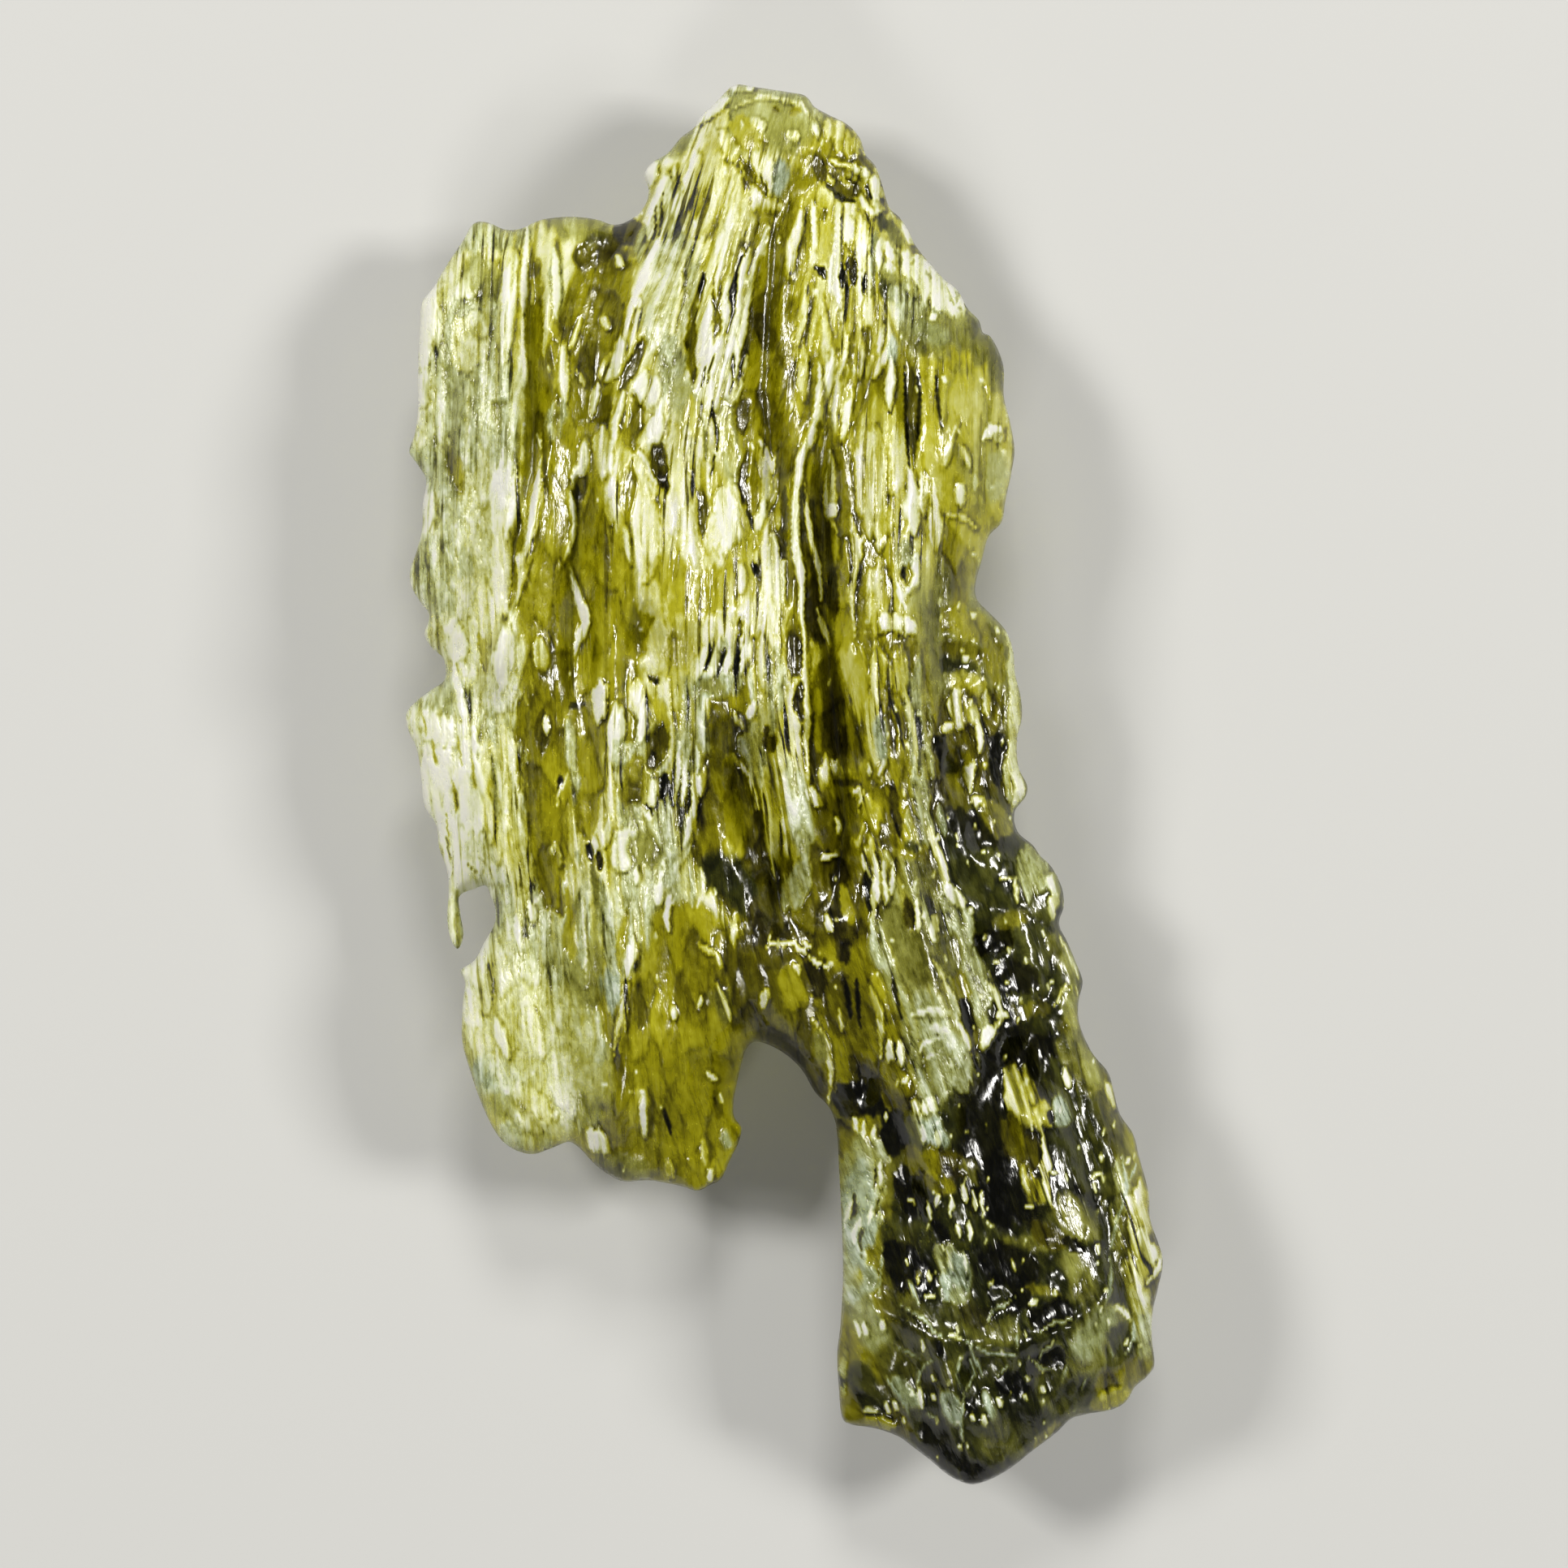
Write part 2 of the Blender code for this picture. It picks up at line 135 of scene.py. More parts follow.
@dataclass(frozen=True)
class Look:
    """How the glass looks and lies where one tone is laid.

    level runs from 0, black, through olive and straw to 1, white. silver is how grey it is. rise is the
    height over the ground in millimetres. fibre, scale, cells and crinkle say how strongly the flutes,
    the scales, the bowls of the etched cells and the fine crinkles show, from 0 to 1.
    """

    level: float
    silver: float
    roughness: float
    rise: float
    fibre: float
    scale: float
    cells: float
    crinkle: float


# White and cream are partly the frosting of the ribs and partly painted highlight. Dark, brown and amber,
# which lie lowest, are partly painted shade in the hollows.
LOOKS: dict[Tone, Look] = {
    WHITE: Look(0.97, 0.3, 0.36, 0.08, 0.6, 0.2, 0.0, 0.4),
    CREAM: Look(0.82, 0.05, 0.30, 0.055, 1.0, 0.4, 0.0, 0.4),
    STRAW: Look(0.70, 0.0, 0.26, 0.035, 0.9, 0.4, 0.0, 0.5),
    SAGE: Look(0.57, 0.62, 0.30, 0.025, 0.8, 0.4, 0.0, 1.0),
    BLUE: Look(0.62, 1.0, 0.30, 0.035, 0.6, 0.3, 0.0, 0.9),
    HAZE: Look(0.54, 0.45, 0.20, 0.00, 0.1, 0.1, 0.0, 0.4),
    FROST: Look(0.73, 0.26, 0.30, 0.03, 0.4, 0.4, 0.0, 0.9),
    YELLOW: Look(0.50, 0.0, 0.20, 0.00, 0.4, 0.2, 0.0, 0.3),
    MOSS: Look(0.34, 0.45, 0.22, -0.01, 0.15, 0.2, 0.1, 0.4),
    OLIVE: Look(0.34, 0.0, 0.18, -0.07, 0.12, 0.25, 0.0, 0.3),
    AMBER: Look(0.22, 0.0, 0.18, -0.10, 0.15, 0.3, 0.0, 0.3),
    GREEN: Look(0.15, 0.65, 0.16, -0.03, 0.1, 0.2, 0.3, 0.2),
    BROWN: Look(0.12, 0.0, 0.18, -0.08, 0.15, 0.3, 0.0, 0.3),
    DARK: Look(0.00, 0.3, 0.16, -0.07, 0.1, 0.1, 0.1, 0.1),
}
NUMBERS = {tone: np.array(astuple(look)) for tone, look in LOOKS.items()}
TRAITS = tuple(trait.name for trait in fields(Look))
LEVEL, RISE, FIBRE = (TRAITS.index(name) for name in ("level", "rise", "fibre"))


@dataclass(frozen=True)
class Stroke:
    """One laid patch or line of a tone: its half width in drawing units, its strength and its middle line."""

    tone: Tone
    half: float
    strength: float
    line: tuple[tuple[float, float], ...]


# Each stroke is a tone, a half width, a strength, the place where its middle line starts and the steps
# that it takes from there, across and along in turn. Where no strength is given, it is 1. Later strokes
# lie over earlier ones.
# The white strokes are partly frosted ribs and partly painted highlights, and the thinnest of them are
# painted glints. The dark, brown and amber strokes in the hollows are partly painted shade.
STROKES = (
    # Broad grounds
    (CREAM, 300, -266, 666, 100, -600), (FROST, 120, -406, 616, -10, -350, 20, -250, 30, -250, 40, -180),
    (SAGE, 60, 0.9, -376, 636, 0, -190, -20, -180), (SAGE, 70, 0.8, -346, 66, 20, -200, 50, -150),
    (SAGE, 46, 0.9, -266, -264, 20, -120), (OLIVE, 82, 0.9, -228, 636, -14, -310, -12, -360),
    (FROST, 34, 0.9, -366, 406, 0, -200, 6, -80), (CREAM, 14, 0.9, -338, 346, -6, -140),
    (CREAM, 90, 0.9, -96, 776, -20, -230, -10, -220, 30, -160),
    (OLIVE, 70, 0.9, 19, 736, -30, -100, -5, -170, 20, -140), (CREAM, 60, 0.7, 94, 706, -10, -160),
    (SAGE, 60, 0.9, 194, 586, 30, -50), (YELLOW, 75, 219, 496, 5, -150, -30, -100),
    (STRAW, 55, 114, 446, 5, -180, -5, -100), (OLIVE, 70, 44, 406, 20, -180, 10, -160),
    (STRAW, 75, 0.9, -106, 326, 10, -120, 80, -60), (STRAW, 60, 0.9, -16, 126, 30, -160, 5, -100),
    (SAGE, 60, 0.9, -166, 66, 30, -120, -40, -160), (AMBER, 60, -71, 86, 15, -160, 50, -110),
    (OLIVE, 75, -116, -194, -15, -140, 5, -130), (AMBER, 75, -6, -234, 50, -40, -10, -90),
    (AMBER, 60, 84, -34, -10, -130), (OLIVE, 50, 0.8, 124, 136, -10, -130), (MOSS, 70, 224, 206, 20, -90),
    (AMBER, 70, 234, 46, -5, -90), (GREEN, 90, 254, -94, 40, -140, 30, -100),
    (GREEN, 150, 274, -454, 10, -180, -10, -180), (DARK, 60, 0.8, 264, -334, 5, -150),
    (OLIVE, 60, 0.9, 84, -244, 20, -90), (SAGE, 55, 0.9, 134, -94, 30, -70, 30, -130, -20, -110),
    # Left band
    (WHITE, 15, 0.9, -432, 616, -8, -50, -3, -55), (WHITE, 11, 0.9, -446, 496, -4, -20),
    (WHITE, 12, 0.9, -440, 371, 2, -45, -10, -30), (WHITE, 9, 0.8, -376, 571, 6, -15),
    (WHITE, 14, 0.8, -366, 636, -25, -30), (STRAW, 20, 0.7, -391, 551, 3, -25),
    (MOSS, 20, 0.7, -376, 636, 15, -25), (SAGE, 26, 0.8, -416, 676, 50, 5, 40, -5),
    (SAGE, 20, 0.9, -459, 406, 23, -20, 30, -20), (SAGE, 22, 0.9, -446, 276, 25, 10, 25, -20),
    (WHITE, 8, 0.8, -460, 311, 4, 15), (SAGE, 26, 0.9, -441, 251, 15, -25),
    (MOSS, 10, 0.8, -410, 421, 6, -35), (OLIVE, 9, 0.8, -406, 406, 15, -50),
    (MOSS, 7, 0.8, -351, 461, 3, -25), (WHITE, 16, 0.8, -408, 186, 4, -20),
    (STRAW, 14, 0.8, -366, 246, 0, -80), (OLIVE, 5, 0.8, -368, 186, 6, -50),
    (WHITE, 14, 0.8, -339, 191, -3, -65), (WHITE, 16, 0.7, -336, 406, -5, -120),
    (SAGE, 24, 0.9, -436, 116, 30, -10), (WHITE, 6, -406, 146, 10, -50, 10, -30),
    (WHITE, 18, 0.9, -436, 76, 15, -10, 35, -10), (WHITE, 36, -421, 16, 15, -60, 15, -50),
    (WHITE, 26, -386, 36, 10, -70), (WHITE, 22, -406, -119, 30, 5),
    (STRAW, 34, 0.9, -341, 36, 15, -80, 0, -70), (SAGE, 22, 0.8, -334, 26, 5, -70),
    (SAGE, 34, 0.9, -356, -134, 15, -40, 15, -50), (WHITE, 5, -410, -134, -3, -40, 7, -30),
    (WHITE, 20, -371, -194, -15, -35, 5, -20), (WHITE, 5, -326, -159, 5, -30, 5, -23),
    (STRAW, 40, 0.9, -346, -254, 0, -60), (CREAM, 30, 0.8, -376, -274, 60, 10),
    (BLUE, 24, 0.9, -366, -354, 25, -15), (MOSS, 16, 0.8, -354, -394, 28, -2),
    (WHITE, 12, 0.9, -316, -412, 12, -7), (SAGE, 20, 0.9, -338, -434, 32, -10),
    (MOSS, 24, 0.9, -246, -334, 5, -50), (WHITE, 8, -268, -386, 5, -20), (WHITE, 8, -236, -430, 3, -16),
    (WHITE, 8, -222, -432, 4, -17), (MOSS, 18, 0.9, -221, -469, 45, -7),
    # The long groove and the ribs beside it
    (WHITE, 4, 0.9, -318, 689, 2, -53, -2, -60), (OLIVE, 11, -304, 631, -2, -85, 3, -70, -6, -70, -5, -60),
    (OLIVE, 9, -316, 326, -10, -60, -8, -60), (BROWN, 5, 0.6, -304, 641, -5, -20),
    (WHITE, 9, -333, 656, -4, -83, -3, -57), (SAGE, 9, -338, 506, 4, -50, 6, -80),
    (CREAM, 8, -326, 371, -12, -80, -8, -70, -8, -55), (WHITE, 4, -324, 386, -10, -90),
    (SAGE, 9, -282, 666, 1, -50, 3, -53), (CREAM, 8, -278, 563, 6, -68, -2, -49),
    (SAGE, 10, -274, 466, -4, -45), (WHITE, 4, -283, 666, 5, -100),
    (CREAM, 8, -290, 406, -8, -60, -13, -60, -12, -65), (WHITE, 4, -295, 391, -11, -75, -10, -50),
    (WHITE, 4, 0.9, -302, 446, 8, -40), (OLIVE, 6, 0.9, -295, 466, -3, -45),
    # Upper windows left of the middle
    (OLIVE, 34, -221, 646, -5, -80), (OLIVE, 28, -241, 546, 10, -40), (AMBER, 16, 0.8, -246, 646, 30, 20),
    (BROWN, 16, 0.9, -198, 683, 12, -7), (MOSS, 22, 0.8, -276, 694, 45, -13),
    (CREAM, 3, 0.8, -248, 571, -18, -45), (CREAM, 3, 0.8, -221, 571, 7, -15),
    (CREAM, 3, 0.8, -254, 506, 10, -20), (CREAM, 3, 0.8, -226, 496, 16, 30),
    (WHITE, 4, 0.9, -202, 646, 2, -10), (WHITE, 10, 0.9, -198, 541, -4, -35, -14, -15),
    (AMBER, 7, 0.9, -166, 551, -15, -40, -13, -35), (WHITE, 4, 0.9, -229, 486, -7, -40),
    (WHITE, 4, 0.9, -191, 476, -10, -40, -3, -30), (OLIVE, 14, 0.9, -179, 466, -4, -60),
    (AMBER, 10, 0.9, -216, 466, -5, -30), (WHITE, 16, 0.9, -166, 481, 6, -15),
    (WHITE, 11, 0.9, -151, 446, -5, -40), (WHITE, 12, 0.9, -221, 426, 5, -50),
    (WHITE, 8, 0.8, -246, 416, -4, -60), (BROWN, 7, 0.9, -242, 368, -4, -14),
    (WHITE, 5, -258, 366, 4, -50, -12, -40, -10, -25), (OLIVE, 14, -261, 426, -5, -60),
    (OLIVE, 14, -234, 336, -2, -50), (OLIVE, 20, -276, 326, -5, -50), (CREAM, 8, 0.8, -204, 366, -7, -50),
    (WHITE, 3, -176, 406, 15, -30, 17, -22), (CREAM, 14, 0.9, -171, 366, 5, -60, -2, -60),
    (OLIVE, 5, 0.9, -184, 406, -4, -80, 4, -50), (WHITE, 5, 0.9, -190, 316, 4, -50),
    # Middle ribs
    (SAGE, 34, 0.9, -131, 666, -10, -100, 5, -50), (WHITE, 17, -140, 746, -8, -50, -6, -30),
    (SAGE, 20, 0.8, -166, 666, 6, -20), (YELLOW, 26, 0.7, -101, 766, 7, -50),
    (CREAM, 22, 0.9, -76, 756, 15, -70, -5, -50), (WHITE, 16, 0.8, -61, 696, -5, -60, -5, -70),
    (WHITE, 14, 0.9, -86, 576, -4, -50, -4, -40), (WHITE, 16, 0.9, -61, 616, -5, -70, -5, -60),
    (AMBER, 6, -98, 616, -8, -35, -8, -45, 2, -40), (AMBER, 3, -82, 621, -2, -55, -4, -40),
    (SAGE, 20, 0.7, -131, 486, 15, -40), (STRAW, 18, 0.8, -111, 466, 15, -60),
    (OLIVE, 10, -38, 396, 7, -30, -5, -40), (WHITE, 6, 0.9, -21, 406, 5, -40, -10, -50),
    (OLIVE, 9, -98, 356, -4, -40), (WHITE, 20, 0.8, -71, 346, 10, -40, -10, -40),
    (CREAM, 18, 0.8, -121, 366, 5, -100), (STRAW, 30, 0.9, -116, 266, 30, -20),
    (YELLOW, 20, 0.7, -136, 256, 30, -20),
    # Tip
    (MOSS, 34, 0.9, -36, 848, 35, -7, 25, -10), (WHITE, 9, -111, 814, 25, 22, 20, 15),
    (MOSS, 12, 0.8, -121, 796, -10, -15), (WHITE, 8, 0.9, 39, 826, -2, -20), (CREAM, 8, 0.9, 89, 806, 7, -25),
    (STRAW, 8, 0.8, -18, 718, 4, -10), (OLIVE, 20, 22, 741, -13, -55, -13, -40),
    (AMBER, 10, 0.8, 34, 766, 10, -15), (WHITE, 7, 96, 756, 16, -15), (WHITE, 6, 109, 726, 11, -18),
    # Long olive valley and the straight ribs
    (OLIVE, 20, -16, 636, -8, -60, 6, -110, 17, -100), (AMBER, 18, 0.6, -11, 446, 7, -80),
    (YELLOW, 9, 0.7, 24, 666, -10, -50, 5, -50), (CREAM, 7, 0.9, 19, 696, -10, -40, -3, -40),
    (DARK, 4, 0.9, 36, 631, 10, -7, 6, -8), (WHITE, 6, 65, 721, -2, -45, 1, -50, 4, -60),
    (CREAM, 14, 0.9, 86, 711, -2, -35), (BROWN, 8, 82, 641, 2, -25), (DARK, 3, 70, 636, 4, -40),
    (WHITE, 5, 0.9, 100, 696, -4, -60, -4, -50), (BLUE, 6, 0.9, 114, 676, -6, -60),
    (MOSS, 9, 0.9, 122, 636, 4, -30), (CREAM, 4, 118, 591, 6, -25, 8, -30, -18, -35, -12, -10),
    (CREAM, 4, 0.9, 94, 566, 4, -50), (STRAW, 9, 0.9, 29, 626, -10, -90, 5, -70), (CREAM, 4, 49, 596, 7, -70),
    (WHITE, 7, 60, 526, -11, -50, -12, -40), (WHITE, 5, 34, 436, -13, -40, -4, -50, -1, -80, 3, -60),
    (CREAM, 5, 19, 206, 5, -40, 6, -80, 4, -80), (CREAM, 4, 0.8, 44, 486, 5, -60),
    (STRAW, 10, 0.8, 69, 496, 3, -40), (WHITE, 3, 0.9, 79, 466, -3, -30, -7, -20),
    (OLIVE, 9, 0.9, 96, 486, -4, -30), (AMBER, 16, 42, 386, -3, -80, 5, -60),
    (OLIVE, 14, 76, 406, -7, -80, 5, -80), (CREAM, 3, 0.9, 56, 391, -2, -65, 8, -20),
    # White mass and the shoulder on the upper right
    (WHITE, 20, 152, 644, 27, -23, 30, -30), (WHITE, 9, 0.9, 124, 666, 15, -20, 7, -20),
    (WHITE, 7, 0.9, 119, 611, 13, 25), (MOSS, 8, 0.8, 132, 621, 7, -25), (WHITE, 5, 0.9, 134, 704, 20, -28),
    (SAGE, 16, 0.8, 159, 581, 25, -15), (MOSS, 20, 0.8, 184, 554, 55, -3), (MOSS, 12, 0.6, 164, 541, 35, -15),
    (MOSS, 14, 0.8, 259, 536, 3, -40), (YELLOW, 22, 0.8, 209, 486, 3, -80),
    (OLIVE, 12, 0.7, 244, 486, -5, -80), (DARK, 3, 150, 511, 2, -65, -1, -70), (DARK, 3, 164, 506, 0, -90),
    (AMBER, 5, 0.9, 157, 506, 1, -120), (YELLOW, 4, 176, 496, 8, -110), (DARK, 2, 0.9, 184, 506, 8, -80),
    (WHITE, 6, 131, 501, -5, -45), (BLUE, 7, 0.9, 134, 546, -2, -40), (WHITE, 10, 152, 381, 2, -55, 6, -20),
    (CREAM, 9, 0.9, 182, 366, 0, -80), (WHITE, 4, 0.9, 231, 376, 0, -15), (STRAW, 14, 0.9, 269, 406, -3, -50),
    (WHITE, 6, 0.8, 256, 436, 6, -10), (OLIVE, 18, 0.7, 234, 326, 15, -10),
    (OLIVE, 18, 0.9, 219, 276, -5, -50), (WHITE, 8, 0.9, 159, 276, -5, -40),
    # Yellow flank
    (CREAM, 18, 0.9, 106, 436, -2, -70, 10, -80), (STRAW, 16, 0.9, 114, 266, -2, -80),
    (WHITE, 12, 0.9, 124, 196, 28, -5), (YELLOW, 12, 0.9, 74, 266, -5, -40), (AMBER, 8, 89, 276, -3, -50),
    # The middle, below the ribs
    (OLIVE, 13, -169, 196, -1, -30), (DARK, 4, 0.8, -161, 131, 10, -7), (STRAW, 16, 0.8, -151, 186, -3, -40),
    (YELLOW, 26, 0.9, -116, 231, 50, 10), (CREAM, 24, 0.9, -86, 176, 25, -10),
    (WHITE, 16, 0.9, -98, 136, 37, 5), (BLUE, 16, 0.9, -94, 116, 18, 4), (BROWN, 5, -53, 196, 2, -16),
    (CREAM, 12, -18, 226, -3, -60, -5, -50), (OLIVE, 10, 9, 206, 1, -70), (BROWN, 18, 0.9, 42, 236, 2, -50),
    (BROWN, 14, 0.9, 36, 86, 0, -70), (CREAM, 3, 0.9, 40, 216, 9, -25, 9, -25),
    (OLIVE, 4, 0.9, 44, 226, 16, -40), (AMBER, 20, 0.9, 54, 136, 2, -70), (YELLOW, 22, 82, 146, 4, -60),
    (STRAW, 12, 0.8, 109, 146, -1, -80, 2, -50), (DARK, 3, 0.8, 78, 126, 8, -60, 10, -40),
    (AMBER, 14, 0.9, 74, 66, 10, -50), (BROWN, 6, 64, 4, 30, -6), (YELLOW, 9, 132, 166, 6, -50),
    (SAGE, 9, 146, 146, 10, -60, 6, -80), (SAGE, 11, 0.9, 162, 6, 6, -40), (AMBER, 5, 139, 96, 7, -50),
    # Left middle
    (OLIVE, 22, -269, 246, 1, -50, 2, -45), (AMBER, 6, 0.8, -283, 221, 1, -55),
    (OLIVE, 24, 0.9, -231, 226, 0, -50), (WHITE, 4, -258, 261, 14, -65, -14, -45),
    (OLIVE, 16, -261, 126, 10, -30), (WHITE, 7, 0.9, -294, 176, 4, -40),
    (OLIVE, 12, -321, 106, 3, -40, 4, -30), (AMBER, 5, 0.8, -321, 46, 7, -80),
    (OLIVE, 14, 0.9, -238, -14, -2, -40), (WHITE, 9, 0.9, -222, 116, -4, -40),
    (WHITE, 12, 0.9, -201, 86, 0, -60), (CREAM, 12, 0.8, -176, 116, 15, -50),
    (WHITE, 5, 0.9, -166, 96, 2, -40), (OLIVE, 9, 0.9, -184, 86, -2, -30),
    (AMBER, 12, 0.8, -151, 56, -7, -30), (OLIVE, 14, 0.9, -176, 26, -10, -40),
    (WHITE, 10, 0.9, -158, -4, -2, -15), (WHITE, 15, 0.9, -193, -69, -1, -20), (MOSS, 18, -171, -74, 5, -10),
    (WHITE, 8, 0.8, -146, -104, -5, -40), (SAGE, 14, -98, 36, -6, -50),
    (WHITE, 6, 0.8, -100, 6, -16, -70, -15, -40), (SAGE, 12, 0.9, -121, -44, -19, -70),
    (CREAM, 5, 0.9, -178, -194, -10, -40, -7, -50, -3, -40), (OLIVE, 6, 0.8, -196, -154, -6, -80),
    (BLUE, 9, 0.9, -209, -214, -2, -60), (BLUE, 8, 0.8, -224, -314, -2, -20),
    (CREAM, 3, 0.8, -231, -174, -5, -60, 5, -30), (SAGE, 12, 0.8, -266, -184, -10, -50),
    # Smooth lobe
    (FROST, 52, 0.7, -338, -214, 18, -110, 44, -85), (FROST, 30, 0.6, -266, -264, 30, -100),
    (WHITE, 12, 0.8, -376, -224, 8, -50), (WHITE, 7, 0.9, -354, -284, 14, -50),
    (CREAM, 12, 0.9, -326, -374, 36, -32), (CREAM, 8, 0.9, -306, -274, 12, -60),
    (OLIVE, 60, -121, -214, -10, -120, 5, -100), (AMBER, 12, 0.8, -166, -234, -10, -60),
    (YELLOW, 10, 0.6, -176, -374, -5, -40), (YELLOW, 10, 0.6, -116, -464, 30, -10),
    (MOSS, 12, 0.9, -79, -259, 8, -20), (CREAM, 3, -86, -239, 12, -25, 14, -32),
    (CREAM, 3, 0.9, -100, -194, 19, -15, 7, -17), (WHITE, 5, -166, -372, -2, -27, 1, -30),
    (WHITE, 3, 0.9, -136, -274, 1, -10), (WHITE, 3, 0.9, -100, -256, -4, -18),
    (WHITE, 3, 0.9, -96, -352, 14, -12), (DARK, 2, 0.9, -150, -394, 6, -25, 4, -13),
    (AMBER, 6, 0.7, -86, -374, 5, -40), (CREAM, 5, 0.8, -144, -464, 4, -20),
    (CREAM, 5, 0.8, -100, -434, 6, -40), (WHITE, 4, 0.9, -88, -476, -2, -13),
    (BLUE, 8, 0.7, -73, -434, 5, -10),
    # Brown hollow above the notch
    (AMBER, 26, -76, 46, 15, -60), (OLIVE, 20, -86, 6, 5, -50), (YELLOW, 9, 0.8, -61, -64, 3, -20),
    (SAGE, 16, 0.9, -41, 66, 10, -60), (AMBER, 14, 0.9, -31, -34, -5, -60), (BROWN, 18, -28, -154, 12, -30),
    (GREEN, 16, 0.9, -61, -124, 15, -20), (MOSS, 10, 0.8, -16, -34, 5, -60),
    (SAGE, 16, 0.9, 9, 26, 15, -60, 2, -60), (WHITE, 6, 0.9, 34, -9, 8, -15),
    (SAGE, 14, 0.9, 22, -104, -13, -40), (OLIVE, 15, 9, -234, 5, -25),
    (CREAM, 3, 0.9, 9, -219, 17, -20, 6, -20), (BROWN, 14, 0.9, 34, -229, 8, -20),
    (CREAM, 3, 34, -286, 18, -33, 8, -35, -4, -40), (MOSS, 10, 0.9, 42, -309, 4, -25),
    (BROWN, 18, 0.9, 24, -344, 15, -30), (AMBER, 12, 0.9, -11, -264, -5, -30),
    (CREAM, 4, 0.8, -24, -249, -2, -25), (BROWN, 9, 70, -24, -4, -30), (AMBER, 10, 79, -14, 7, -50),
    (BROWN, 14, 68, -104, -2, -40), (BROWN, 12, 72, -184, 2, -22), (WHITE, 4, 44, -90, 18, 4),
    (YELLOW, 8, 0.9, 86, -34, 4, -40), (CREAM, 14, 0.9, 109, -74, 10, -60),
    (WHITE, 5, 0.8, 104, -114, 4, -50), (DARK, 3, 0.8, 100, -84, 2, -70), (SAGE, 12, 0.9, 112, -174, 8, -40),
    (MOSS, 14, 134, -159, 0, -25), (MOSS, 15, 164, -104, 2, -15), (CREAM, 5, 0.9, 179, -84, 15, -40, 12, -20),
    (WHITE, 8, 0.9, 186, -164, -2, -20), (SAGE, 8, 222, -154, 6, -40), (MOSS, 20, 152, -199, 12, -30),
    (MOSS, 14, 200, -199, 1, -20), (CREAM, 3, 182, -214, 10, -18, 14, -2),
    (CREAM, 3, 194, -234, 15, -35, 7, -30, 12, -31), (SAGE, 22, 184, -284, 10, -40),
    (WHITE, 8, 0.7, 184, -296, 18, -13), (OLIVE, 10, 0.8, 214, -239, 6, -15),
    (AMBER, 10, 0.9, 229, -299, 1, -20), (SAGE, 9, 226, -194, 14, -32, 22, -28, 7, -25),
    (WHITE, 5, 254, -244, 10, -25), (WHITE, 6, 256, -294, -17, -25), (AMBER, 16, 0.9, 68, -244, -4, -50),
    (YELLOW, 10, 0.9, 109, -234, 10, -50), (YELLOW, 4, 0.9, 116, -254, 10, -60),
    (DARK, 3, 0.8, 132, -234, 10, -50), (AMBER, 16, 0.9, 94, -344, 30, -20),
    (SAGE, 20, 0.9, 164, -364, 10, -50), (WHITE, 4, 0.9, 164, -389, -2, -15),
    # Right side
    (MOSS, 12, 0.9, 274, 176, 6, -60), (MOSS, 13, 0.8, 274, 106, 5, -60), (OLIVE, 18, 0.8, 204, 201, 30, -10),
    (AMBER, 12, 0.8, 202, 166, 32, -10), (GREEN, 10, 0.9, 199, 146, 25, -5),
    (OLIVE, 14, 0.8, 254, 166, 5, -30), (YELLOW, 12, 0.7, 214, 126, 20, -5), (WHITE, 12, 214, 101, 8, -20),
    (WHITE, 6, 0.9, 246, 111, 2, -25), (WHITE, 5, 236, 76, 4, -40), (WHITE, 5, 0.9, 194, 66, 20, 5),
    (WHITE, 8, 0.9, 226, 31, 2, -30), (DARK, 14, 0.9, 189, 46, 17, -20), (AMBER, 14, 0.9, 214, 51, 5, -15),
    (DARK, 12, 0.9, 259, 56, 3, -50), (CREAM, 4, 0.9, 229, -19, 30, -5), (SAGE, 9, 0.9, 274, 36, 8, -60),
    (MOSS, 10, 0.9, 296, 1, -4, -20), (DARK, 18, 0.8, 214, -44, 40, -20), (OLIVE, 14, 0.7, 254, -34, 15, -20),
    (BLUE, 5, 0.8, 184, -24, 10, -40), (SAGE, 20, 0.8, 302, -94, 7, -25), (WHITE, 7, 330, -116, 6, -13),
    (CREAM, 7, 0.9, 334, -139, -2, -25), (CREAM, 4, 0.8, 279, -119, 5, -25),
    (CREAM, 3, 0.8, 259, -116, 20, 2), (DARK, 14, 246, -194, 23, 5), (OLIVE, 12, 0.7, 259, -169, 30, 5),
    (DARK, 18, 0.9, 274, -234, 22, -5), (OLIVE, 12, 0.6, 289, -279, 25, 5), (DARK, 20, 0.9, 274, -324, 40, 0),
    (MOSS, 14, 0.8, 334, -194, 20, -30), (MOSS, 12, 0.9, 349, -254, 15, -30),
    (CREAM, 2, 340, -184, 14, -30, 12, -26), (CREAM, 2, 0.9, 329, -274, 17, 26, 18, -8),
    (OLIVE, 16, 0.7, 352, -296, 12, -18), (OLIVE, 16, 0.8, 364, -334, 15, -30),
    (STRAW, 20, 284, -366, 20, -33), (BLUE, 9, 336, -389, 8, -17), (CREAM, 3, 311, -419, 6, -49, 10, -36),
    (AMBER, 14, 0.9, 274, -414, 10, -40), (AMBER, 12, 0.9, 296, -434, 3, -40),
    (YELLOW, 9, 0.8, 302, -479, 12, -25), (GREEN, 30, 0.9, 354, -434, 10, -40),
    (CREAM, 4, 0.9, 399, -364, 11, -35),
    # A painted rim light along the right edge.
    (FROST, 7, 272, 188, 8, -22, 4, -50, 2, -55, -4, -35, 11, -30, -10, -30),
    # The tip and the ribs under it
    (HAZE, 42, -41, 816, 40, 0), (MOSS, 16, 0.6, 19, 801, -15, -15), (SAGE, 9, 0.6, -21, 853, 40, -7),
